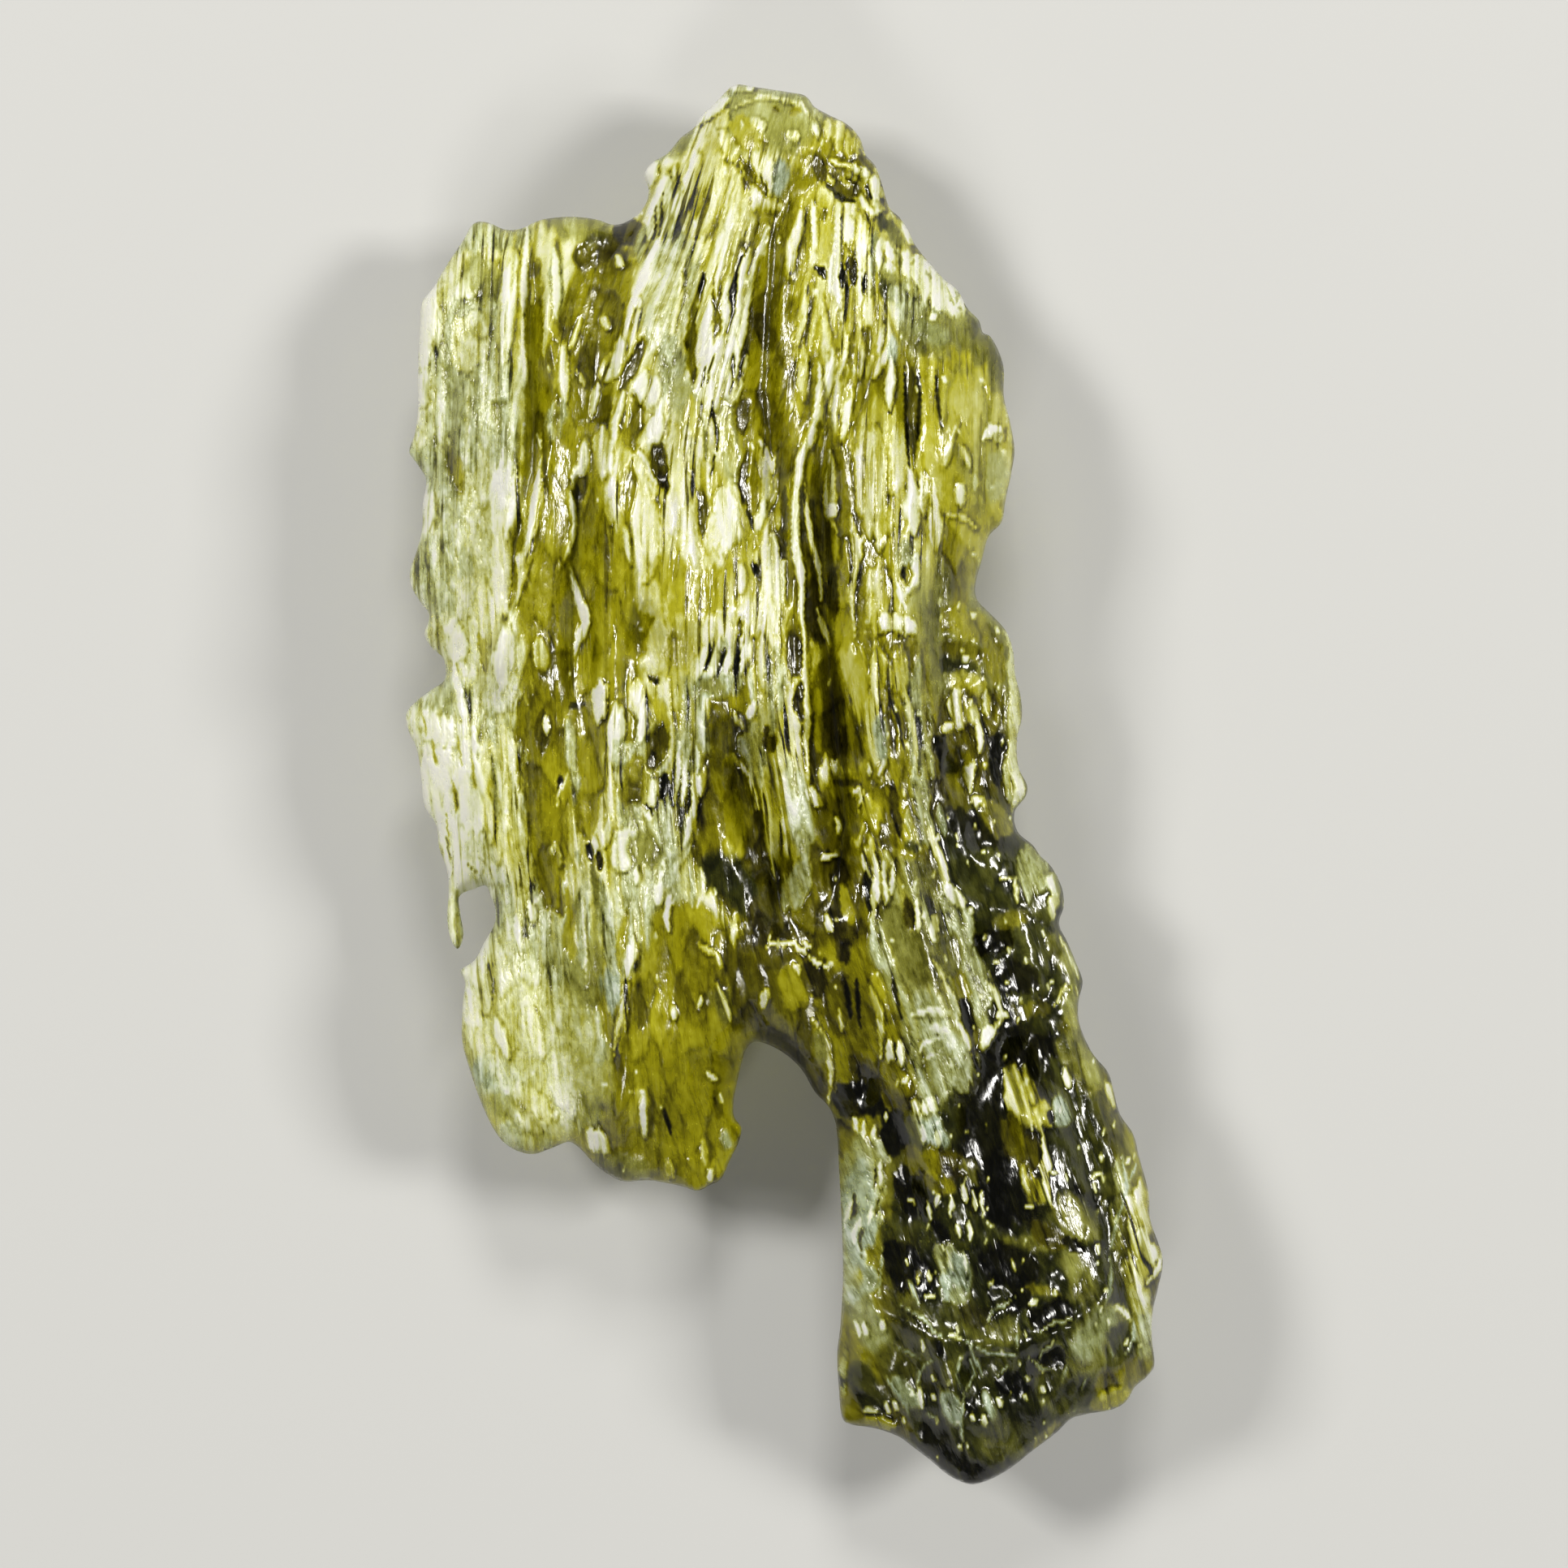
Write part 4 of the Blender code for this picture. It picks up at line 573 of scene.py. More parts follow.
    (BLUE, 10, 0.9, 199, -748, 7, -28), (BLUE, 8, 0.9, 246, -749, 8, -25), (WHITE, 3, 262, -751, 2, -10),
    (WHITE, 3, 242, -769, 2, -16), (WHITE, 2.5, 227, -770, 3, -6), (WHITE, 2.3, 165, -675, 2, -19),
    (WHITE, 2.5, 179, -723, 2, -3), (WHITE, 2.5, 179, -747, 2, -5), (WHITE, 2.5, 296, -724, 2, -4),
    (WHITE, 2.5, 314, -740, 3, -3), (WHITE, 2.5, 305, -632, 5, 2), (WHITE, 2.5, 213, -812, 2, -3),
    (GREEN, 40, 274, -812, 22, 10), (MOSS, 26, 0.4, 266, -804, 30, -6), (MOSS, 14, 0.5, 256, -818, 6, -4),
    (OLIVE, 10, 0.8, 334, -789, -24, -29), (DARK, 22, 0.9, 184, -799, 15, -33),
    (DARK, 16, 0.9, 229, -850, 17, -8), (AMBER, 18, 394, -734, 36, 10), (OLIVE, 14, 384, -764, 36, 10),
    (YELLOW, 5, 0.6, 384, -754, 32, 12), (GREEN, 14, 0.8, 354, -744, 10, -12),
)


def smooth(share: np.ndarray) -> np.ndarray:
    """A share held between 0 and 1 and eased at both ends."""
    share = np.clip(share, 0, 1)
    return share * share * (3 - 2 * share)


def between(cells: np.ndarray, low: np.ndarray, part: np.ndarray) -> np.ndarray:
    """Blends a field of cells at places that lie between them.

    Args:
        cells: The field.
        low: The cell at the lower left of each place.
        part: How far each place is past that cell, from 0 to 1.

    Returns:
        The value at each place.
    """
    i, j = low.T
    u, v = part.T
    near = cells[i, j] * (1 - v) + cells[i, j + 1] * v
    past = cells[i + 1, j] * (1 - v) + cells[i + 1, j + 1] * v
    return near * (1 - u) + past * u


def along_line(
    points: np.ndarray, line: tuple[tuple[float, float], ...]
) -> tuple[np.ndarray, np.ndarray, np.ndarray]:
    """Where each place lies beside a line.

    Args:
        points: Places in drawing units.
        line: The places that the line runs through.

    Returns:
        The distance of each place, how far along the line its nearest point is, from 0 to 1, and how far
        the place lies on the painted shade's side of the line, away from the painted light at the upper left.
    """
    best = np.full(len(points), np.inf)
    part = np.zeros(len(points))
    shadow_side = np.zeros(len(points))
    corners = np.array(line, float)
    lengths = np.maximum(np.hypot(*np.diff(corners, axis=0).T), NO_LENGTH)
    passed = np.concatenate([[0.0], np.cumsum(lengths)]) / lengths.sum()
    for k, (origin, stop) in enumerate(zip(corners[:-1], corners[1:])):
        run = stop - origin
        share = np.clip((points - origin) @ run / max(run @ run, NO_LENGTH), 0, 1)
        offset = points - origin - share[:, None] * run
        gap = np.hypot(*offset.T)
        closer = gap < best
        shadow_side = np.where(closer, offset @ np.array(SHADOW_SIDE), shadow_side)
        best = np.where(closer, gap, best)
        part = np.where(closer, passed[k] + share * (passed[k + 1] - passed[k]), part)
    return best, part, shadow_side


@dataclass(frozen=True)
class Flow:
    """The way that the glass flowed, over the drawing grid.

    It runs straight along Y between low and high. Below low it leans, more on the right than on the left,
    and above high the left of it leans in to the tip.
    """

    low: float = 60.0
    low_blend: float = 60.0
    high: float = 430.0
    high_blend: float = 50.0
    middle: float = 20.0  # x between the left and the right
    middle_blend: float = 60.0
    tip_left: float = -200.0  # x where the tip's lean begins
    tip_blend: float = 45.0
    left_lean: float = 0.07
    right_lean: float = 0.30
    tip_lean: float = 0.36
    drawn_tip_lean: float = 0.32  # of the underside's strokes

    def right(self, x: np.ndarray) -> np.ndarray:
        """How much places belong to the right, from 0 to 1."""
        return 1 / (1 + np.exp(-(x - self.middle) / self.middle_blend))

    def lean(self, x: np.ndarray) -> np.ndarray:
        """How much the flow leans below its straight stretch."""
        right = self.right(x)
        return self.right_lean * right + self.left_lean * (1 - right)

    def slant(self, x: float, y: float) -> float:
        """The slant of a line that follows the flow.

        Args:
            x: Where the line is across the flow.
            y: Where it is along the flow.

        Returns:
            How far right it moves for each unit that it rises.
        """
        if y < self.low:
            return -self.lean(x)
        if y > self.high:
            return self.drawn_tip_lean * (1 - self.right(x))
        return 0.0

    def straight(self, points: np.ndarray) -> np.ndarray:
        """Places in the flow's own grid, where the flutes run straight along Y.

        Args:
            points: Places in drawing units.

        Returns:
            The same places across and along the flow.
        """
        x, y = points.T
        tip = (1 - self.right(x)) / (1 + np.exp(-(x - self.tip_left) / self.tip_blend))
        down = self.low_blend * np.log1p(np.exp((self.low - y) / self.low_blend))
        up = self.high_blend * np.log1p(np.exp((y - self.high) / self.high_blend))
        return np.column_stack([x - self.lean(x) * down - self.tip_lean * tip * up, y])


@dataclass(frozen=True)
class Cells:
    """The cells of a pattern: their width across the flow, their length along it and a seed."""

    TABLE: ClassVar[int] = 1024  # cells of the noise each way, more than the flake needs
    width: float
    length: float
    seed: int

    def noise(self, stream: np.ndarray) -> np.ndarray:
        """Smooth seeded noise.

        Args:
            stream: Places in the flow's grid.

        Returns:
            A value from -1 to 1 for each place.
        """
        place = stream / np.array((self.width, self.length)) + self.TABLE / 2
        low = np.floor(place).astype(int)
        table = np.random.default_rng(self.seed).uniform(-1.0, 1.0, (self.TABLE, self.TABLE))
        return between(table, low, smooth(place - low))


def drawn_strokes() -> list[Stroke]:
    """Reads the table of the upper side's strokes.

    Returns:
        The strokes in the order in which they are laid.
    """
    made = []
    for tone, half, *steps in STROKES:
        strength = steps.pop(0) if len(steps) % 2 else 1.0
        places = np.cumsum(np.reshape(steps, (-1, 2)), 0)
        made.append(Stroke(tone, half, strength, tuple(tuple(place) for place in places.tolist())))
    return made


@dataclass(frozen=True)
class PaintedGlints:
    """The small painted glints of the upper side, strewn by a seeded draw."""

    seed: int = 12
    # How many there are, and the lower left and upper right corners of where.
    areas: tuple = ((180, (-470, -560), (300, 860)), (200, (130, -860), (480, 230)))
    run: tuple = ((-2, 1), (2, 9))  # the least and the most that one runs to the right and up
    half: tuple[float, float] = (1.0, 2.0)
    strength: float = 0.95

    def strokes(self) -> list[Stroke]:
        """Strews the painted glints.

        Returns:
            One short stroke for each.
        """
        draw = np.random.default_rng(self.seed)
        made = []
        for count, low, high in self.areas:
            for _ in range(count):
                x, y = draw.uniform(low, high)
                right, up = draw.uniform(*self.run)
                line = ((x, y), (x + right, y + up))
                made.append(Stroke(WHITE, draw.uniform(*self.half), self.strength, line))
        return made


@dataclass(frozen=True)
class Underside:
    """The strokes of the side that the photograph doesn't show, drawn along the flow with a seed."""

    seed: int = 77
    corners: tuple = ((-480, -860), (480, 860))
    sway: float = 7.0
    strength: tuple[float, float] = (0.55, 1.0)
    grounds: tuple[Stroke, ...] = (
        Stroke(STRAW, 900, 1.0, ((0, -400), (0, 400))),
        Stroke(GREEN, 230, 1.0, ((260, -500), (240, -760))),
    )
    # How many strokes there are, of which tones, how wide by half and how long.
    layers: tuple = (
        (60, (OLIVE, SAGE, CREAM, YELLOW), (26, 60), (120, 380)),
        (150, (CREAM, WHITE, STRAW, OLIVE, SAGE), (10, 24), (80, 260)),
        (240, (WHITE, CREAM, AMBER, OLIVE, WHITE), (4, 10), (30, 150)),
    )

    def strokes(self, flow: Flow) -> list[Stroke]:
        """The broad grounds, and then ever narrower ribs and hollows.

        Args:
            flow: The flow that they follow.

        Returns:
            The strokes in the order in which they are laid.
        """
        draw = np.random.default_rng(self.seed)
        made = list(self.grounds)
        for count, tones, halves, lengths in self.layers:
            for _ in range(count):
                x, y = draw.uniform(*self.corners)
                long = draw.uniform(*lengths)
                slant = flow.slant(x, y)
                line = []
                for step in (-long / 2, 0.0, long / 2):
                    line.append((x + slant * step + draw.uniform(-self.sway, self.sway), y + step))
                tone = tones[draw.integers(len(tones))]
                made.append(Stroke(tone, draw.uniform(*halves), draw.uniform(*self.strength), tuple(line)))
        return made


@dataclass
class Edge:
    """The edge of the flake in plan: a smooth closed line through the drawn outline."""

    steps: int = 6  # points of the line for each point of the outline
    inset: float = 0.9985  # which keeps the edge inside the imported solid's box
    tile: float = 40.0  # of the places whose distance is measured together
    tile_reach: float = 100.0
    widest_gap: float = 60.0
    ring: np.ndarray = field(init=False)  # the points of the line, clockwise, in drawing units

    def __post_init__(self) -> None:
        """Draws the line."""
        ring = np.array(OUTLINE, float)
        before, after, far = np.roll(ring, 1, 0), np.roll(ring, -1, 0), np.roll(ring, -2, 0)
        stretches = []
        for t in np.arange(self.steps) / self.steps:
            square = (2 * before - 5 * ring + 4 * after - far) * t**2
            cube = (3 * ring - before - 3 * after + far) * t**3
            stretches.append(0.5 * (2 * ring + (after - before) * t + square + cube))
        self.ring = np.stack(stretches, 1).reshape(-1, 2) * self.inset

    def inside(self, points: np.ndarray) -> np.ndarray:
        """Whether each place lies inside the edge.

        Args:
            points: Places in drawing units.

        Returns:
            True or False for each place.
        """
        result = np.zeros(len(points), bool)
        for (ax, ay), (bx, by) in zip(self.ring, np.roll(self.ring, -1, 0)):
            if ay == by:
                continue
            crosses = (ay > points[:, 1]) != (by > points[:, 1])
            result ^= crosses & (points[:, 0] < (bx - ax) * (points[:, 1] - ay) / (by - ay) + ax)
        return result

    def gap(self, points: np.ndarray) -> np.ndarray:
        """How far each place is from the edge, up to the widest gap that matters.

        Args:
            points: Places in drawing units.

        Returns:
            The distance of each place.
        """
        gap = np.full(len(points), self.widest_gap)
        key = np.floor(points / self.tile).astype(int)
        order = np.lexsort((key[:, 1], key[:, 0]))
        starts = np.flatnonzero(np.any(np.diff(key[order], axis=0), 1)) + 1
        runs = np.roll(self.ring, -1, 0) - self.ring
        for group in np.split(order, starts):
            centre = (key[group[0]] + 0.5) * self.tile
            near = np.hypot(*(self.ring - centre).T) < self.tile_reach
            if not near.any():
                continue
            run = runs[near]
            offset = points[group][:, None] - self.ring[near]
            share = np.clip((offset * run).sum(2) / (run * run).sum(1), 0, 1)
            away = offset - share[..., None] * run
            gap[group] = np.minimum(gap[group], np.sqrt((away**2).sum(2)).min(1))
        return gap


@dataclass
class Body:
    """The broad heights of the flake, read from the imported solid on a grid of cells."""

    cell: float = 6.0
    margin: int = 6  # cells around the flake
    carried: int = 200  # rounds that carry the heights out over the empty cells
    softened: int = 2  # rounds that soften them
    corner: np.ndarray = field(init=False)
    top: np.ndarray = field(init=False)
    base: np.ndarray = field(init=False)

    def read(self, edge: Edge) -> None:
        """Reads the solid's upper and lower heights at every cell.

        Args:
            edge: The flake's edge, outside of which nothing is read.
        """
        self.corner = edge.ring.min(0) - self.margin * self.cell
        count = np.ceil((edge.ring.max(0) - self.corner) / self.cell).astype(int) + self.margin
        across, along = np.meshgrid(np.arange(count[0]), np.arange(count[1]), indexing="ij")
        places = np.column_stack([across.ravel(), along.ravel()]) * self.cell + self.corner
        tree = self.solid()
        top = np.full(len(places), np.nan)
        base = np.full(len(places), np.nan)
        down, up = Vector((0, 0, -1)), Vector((0, 0, 1))
        for k in np.flatnonzero(edge.inside(places)):
            x, y = places[k] * UNIT
            high = tree.ray_cast(Vector((x, y, 1.0)), down)[0]
            low = tree.ray_cast(Vector((x, y, -1.0)), up)[0]
            if high is not None and low is not None:
                top[k], base[k] = high.z, low.z
        self.top = self.fill(top.reshape(count))
        self.base = self.fill(base.reshape(count))

    def solid(self) -> BVHTree:
        """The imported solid's faces, from a merged copy of its mesh."""
        mesh = bmesh.new()
        mesh.from_mesh(bpy.data.objects[NODE].data)
        bmesh.ops.remove_doubles(mesh, verts=mesh.verts[:], dist=1e-7)
        tree = BVHTree.FromBMesh(mesh)
        mesh.free()
        return tree

    def fill(self, heights: np.ndarray) -> np.ndarray:
        """Carries the known heights out over the empty cells and softens them.

        Args:
            heights: Heights in metres, nan where unknown.

        Returns:
            A height for every cell.
        """
        known = ~np.isnan(heights)
        filled = np.where(known, heights, np.nanmean(heights))
        for _ in range(self.carried):
            filled = np.where(known, filled, self.around(filled))
        for _ in range(self.softened):
            filled = (filled + self.around(filled)) / 2
        return filled

    def around(self, heights: np.ndarray) -> np.ndarray:
        """The mean height of the four cells around each cell."""
        wide = np.pad(heights, 1, mode="edge")
        return (wide[:-2, 1:-1] + wide[2:, 1:-1] + wide[1:-1, :-2] + wide[1:-1, 2:]) / 4

    def sample(self, cells: np.ndarray, points: np.ndarray) -> np.ndarray:
        """Blends a field of cells at the places.

        Args:
            cells: The field.
            points: Places in drawing units.

        Returns:
            The value at each place.
        """
        place = (points - self.corner) / self.cell
        low = np.clip(np.floor(place).astype(int), 0, np.array(cells.shape) - 2)
        return between(cells, low, np.clip(place - low, 0.0, 1.0))


@dataclass
class Paint:
    """What lies where: the tones laid over each other. Its sizes are in drawing units."""

    points: np.ndarray
    stream: np.ndarray  # the same places in the flow's grid

    # How far around a stroke its places are looked for.
    reach_share: float = 1.6
    reach_more: float = 8.0

    # Long strokes taper to their ends, and all of them wander.
    taper: float = 0.80
    taper_power: float = 2.5
    taper_start: float = 2.0  # times the half width is how long a stroke is before it tapers
    taper_full: float = 6.0
    sway: float = 4.0
    sways: tuple = (Cells(16, 60, 33), Cells(7, 26, 34), 0.5)

    # Their edges are frayed, and soft by a share of the half width.
    frays: tuple = (Cells(6, 40, 31), Cells(3.5, 16, 32), 0.6)
    fray_share: float = 0.32
    widest_fray: float = 10.0
    soft: float = 0.24
    misty_soft: float = 0.6
    narrowest_soft: float = 1.6
    misty: tuple[Tone, ...] = (BLUE, HAZE, FROST, MOSS, GREEN)

    # Wide strokes of these tones are bundles of ribs.
    bundled: tuple[Tone, ...] = (WHITE, CREAM, STRAW, SAGE)
    bundles: Cells = Cells(4.6, 90, 35)
    narrowest_bundle: float = 4.5
    thinnest_bundle: float = 0.25
    narrowest_raised: float = 7.0  # under which a stroke rises less than its look says

    # Ribs of these tones have a dark line around them, darker on their lower right as a painted shadow,
    # and are painted lighter on their upper left and darker on their lower right, as painted light and shade.
    outlined: tuple[Tone, ...] = (WHITE, CREAM, STRAW)
    narrowest_outlined: float = 2.4
    widest_outlined: float = 40.0
    outline: float = 0.44
    outline_gap: float = 2.5
    outline_width: float = 2.2
    outline_even: float = 0.65
    outline_painted_shadow: float = 0.5
    shade: float = 0.11

    # No patch is flat, and the bundles and the fibres come and go.
    clouds: tuple = (Cells(26, 64, 41), Cells(11, 26, 42), 0.7)
    cloud: float = 0.075
    clear_level: float = 0.3  # under which the clouds fade
    fibres: Cells = Cells(30, 80, 43)
    fibre_range: tuple[float, float] = (0.1, 1.3)
    share_mean: float = 0.72
    share_swing: float = 0.9

    traits: np.ndarray = field(init=False)  # the numbers of a look, one row for each place

    def __post_init__(self) -> None:
        """Starts with an olive ground."""
        self.traits = np.tile(NUMBERS[OLIVE], (len(self.points), 1))

    def layered(self, coarse: Cells, fine: Cells, share: float) -> np.ndarray:
        """Coarse noise at every place, with a share of a finer one over it."""
        return coarse.noise(self.stream) + share * fine.noise(self.stream)

    def share(self, cells: Cells, low: float, high: float) -> np.ndarray:
        """An uneven share at every place, held between low and high."""
        return np.clip(self.share_mean + self.share_swing * cells.noise(self.stream), low, high)

    def lay(self, strokes: list[Stroke], where: np.ndarray) -> None:
        """Lays strokes over what is there.

        Args:
            strokes: The strokes in their order.
            where: True for the places that may get them.
        """
        fray = self.layered(*self.frays)
        bundle = smooth(self.share(self.bundles, 0, 1))
        bundle = self.thinnest_bundle + (1 - self.thinnest_bundle) * bundle
        swayed = self.points.copy()
        swayed[:, 0] += self.sway * self.layered(*self.sways)
        for stroke in strokes:
            spots = self.near(stroke, where)
            gap, part, shadow_side = along_line(swayed[spots], stroke.line)
            half = self.half_width(stroke, part)
            gap = gap + fray[spots] * min(self.fray_share * stroke.half, self.widest_fray)
            soft = (self.misty_soft if stroke.tone in self.misty else self.soft) * stroke.half
            cover = smooth((half - gap) / max(self.narrowest_soft, soft) + 0.5) * stroke.strength
            if stroke.tone in self.bundled and stroke.half > self.narrowest_bundle:
                cover = cover * bundle[spots]
            share = np.tile(cover[:, None], len(TRAITS))
            share[:, RISE] *= min(1.0, stroke.half / self.narrowest_raised)
            self.traits[spots] += (NUMBERS[stroke.tone] - self.traits[spots]) * share
            if stroke.tone in self.outlined and self.narrowest_outlined < stroke.half < self.widest_outlined:
                # Painted light and shade across the rib, and its dark line darkened on the lower right as a
                # painted shadow.
                shadow_side = np.clip(shadow_side / half, -1, 1)
                rim = np.exp(-(((gap - half - self.outline_gap) / self.outline_width) ** 2)) * stroke.strength
                dark = self.outline * rim * (self.outline_even + self.outline_painted_shadow * shadow_side)
                self.traits[spots, LEVEL] -= self.shade * shadow_side * cover
                self.traits[spots, LEVEL] *= 1 - dark

    def near(self, stroke: Stroke, where: np.ndarray) -> np.ndarray:
        """Finds the places around a stroke.

        Args:
            stroke: The stroke.
            where: True for the places that may get it.

        Returns:
            The numbers of the places.
        """
        line = np.array(stroke.line, float)
        reach = stroke.half * self.reach_share + self.reach_more
        around = (self.points > line.min(0) - reach) & (self.points < line.max(0) + reach)
        return np.flatnonzero(np.all(around, 1) & where)

    def half_width(self, stroke: Stroke, part: np.ndarray) -> np.ndarray:
        """Half the width of a stroke.

        Args:
            stroke: The stroke.
            part: How far along it each place is, from 0 to 1.

        Returns:
            Half its width beside each place.
        """
        length = np.hypot(*np.diff(np.array(stroke.line, float), axis=0).T).sum()
        long = (length / stroke.half - self.taper_start) / (self.taper_full - self.taper_start)
        lost = self.taper * np.clip(long, 0, 1) * np.abs(2 * part - 1) ** self.taper_power
        return stroke.half * (1 - lost)

    def vary(self) -> None:
        """Makes the tones uneven, so that no patch is flat and the fibres come and go."""
        level = self.traits[:, LEVEL]
        clouds = self.layered(*self.clouds) * np.clip(level / self.clear_level, 0, 1)
        self.traits[:, LEVEL] = level + self.cloud * clouds
        self.traits[:, FIBRE] *= self.share(self.fibres, *self.fibre_range)


class Graph:
    """Puts nodes into a tree and joins them."""

    SEED_STEP: ClassVar[tuple] = (3.17, 1.93, 1.0)  # how far one seed's pattern lies from the next
    WARP_ALONG: ClassVar[float] = 1.5  # how much further places are pushed along the flow than across

    def __init__(self, tree: bpy.types.NodeTree) -> None:
        """Takes the tree to work on."""
        self.tree = tree

    def add(
        self, kind: str, *inputs: object, named: dict[str, object] | None = None, **settings: object
    ) -> bpy.types.Node:
        """Adds one node.

        Args:
            kind: Its type.
            inputs: What goes into its first sockets, in their order.
            named: What goes into its sockets by their names.
            settings: Its own settings.

        Returns:
            The node.
        """
        node = self.tree.nodes.new(kind)
        for name, value in settings.items():
            setattr(node, name, value)
        for socket, value in zip(node.inputs, inputs):
            self.feed(socket, value)
        for name, value in (named or {}).items():
            self.feed(node.inputs[name], value)
        return node

    def feed(self, socket: Socket, value: object) -> None:
        """Links a socket to another, or gives it a plain value."""
        if isinstance(value, Socket):
            self.tree.links.new(value, socket)
        else:
            socket.default_value = value

    def math(self, operation: str, *values: object) -> Socket:
        """The result of a sum on numbers."""
        return self.add("ShaderNodeMath", *values, operation=operation).outputs[0]

    def vector(self, operation: str, *values: object) -> Socket:
        """The result of a sum on vectors."""
        return self.add("ShaderNodeVectorMath", *values, operation=operation).outputs[0]

    def ramp(self, value: object, low: float, high: float, start: float, stop: float) -> Socket:
        """A value eased from start at low to stop at high."""
        sockets = {"Value": value, "From Min": low, "From Max": high, "To Min": start, "To Max": stop}
        return self.add("ShaderNodeMapRange", named=sockets, interpolation_type="SMOOTHSTEP").outputs[0]

    def scaled(self, place: object, cells: Cells) -> Socket:
        """Places in millimetres, measured in cells."""
        size = (1 / cells.width, 1 / cells.length, 1.0)
        return self.vector("MULTIPLY_ADD", place, size, tuple(cells.seed * step for step in self.SEED_STEP))

    def noise(self, place: object, cells: Cells, detail: float, roughness: float) -> bpy.types.Node:
        """Smooth noise from 0 to 1."""
        place = self.scaled(place, cells)
        sockets = {"Vector": place, "Scale": 1.0, "Detail": detail, "Roughness": roughness}
        return self.add("ShaderNodeTexNoise", named=sockets, noise_dimensions="2D")

    def uneven_cells(self, place: object, feature: str) -> bpy.types.Node:
        """Cells of uneven size: how far each place is from a cell's middle or its border."""
        sockets = {"Vector": place, "Scale": 1.0}
        return self.add("ShaderNodeTexVoronoi", named=sockets, voronoi_dimensions="2D", feature=feature)

    def warped(self, place: object, cells: Cells, reach: float) -> Socket:
        """Places pushed about by noise, as far as the reach in millimetres."""
        noise = self.noise(place, cells, 1.0, 0.5).outputs["Color"]
        push = self.vector("SUBTRACT", noise, (0.5, 0.5, 0.5))
        return self.vector("MULTIPLY_ADD", push, (reach, reach * self.WARP_ALONG, 0.0), place)


@dataclass(frozen=True)
class FlowPattern:
    """The cells, in millimetres, of what the flow and the etching left in the glass.

    The same patterns shape the skin and colour it.
    """

    flutes: Cells = Cells(0.24, 2.6, 1)
    lines: Cells = Cells(0.135, 2.1, 1)
    shingles: Cells = Cells(0.42, 1.7, 2)
    pits: Cells = Cells(0.55, 0.7425, 3)
    pit_bend: Cells = Cells(0.605, 1.5125, 4)
    pit_reach: float = 0.605
    wrinkles: Cells = Cells(0.14, 0.308, 5)
    wander: Cells = Cells(1.5, 3.75, 4)
    wander_reach: float = 0.34

    def stream(self, graph: Graph, place: object) -> Socket:
        """The flow's grid, made to wander."""
        return graph.warped(place, self.wander, self.wander_reach)

    def ribs(self, graph: Graph, stream: object, cells: Cells) -> Socket:
        """Long ribs and grooves, from 0 in the deepest groove to 1 on the highest rib."""
        return graph.noise(stream, cells, 2.0, 0.45).outputs[0]

    def scales(self, graph: Graph, stream: object) -> tuple[object, object, object]:
        """The scales that lie over each other like shingles.

        Args:
            graph: Where the nodes go.
            stream: The flow's grid.

        Returns:
            Each scale's own number from 0 to 1, how far down along it a place is, and how far the
            place is from its border.
        """
        place = graph.scaled(stream, self.shingles)
        cell = graph.uneven_cells(place, "F1")
        own = graph.add("ShaderNodeSeparateXYZ", cell.outputs["Color"]).outputs[0]
        away = graph.vector("SUBTRACT", cell.outputs["Position"], place)
        down = graph.add("ShaderNodeSeparateXYZ", away).outputs[1]
        return own, down, graph.uneven_cells(place, "DISTANCE_TO_EDGE").outputs["Distance"]

    def bowls(self, graph: Graph, place: object) -> Socket:
        """How far a place is from the ridge between two etched cells."""
        bent = graph.scaled(graph.warped(place, self.pit_bend, self.pit_reach), self.pits)
        return graph.uneven_cells(bent, "DISTANCE_TO_EDGE").outputs["Distance"]

    def crinkles(self, graph: Graph, stream: object) -> Socket:
        """Fine uneven crinkles from 0 to 1."""
        return graph.noise(stream, self.wrinkles, 2.0, 0.6).outputs[0]


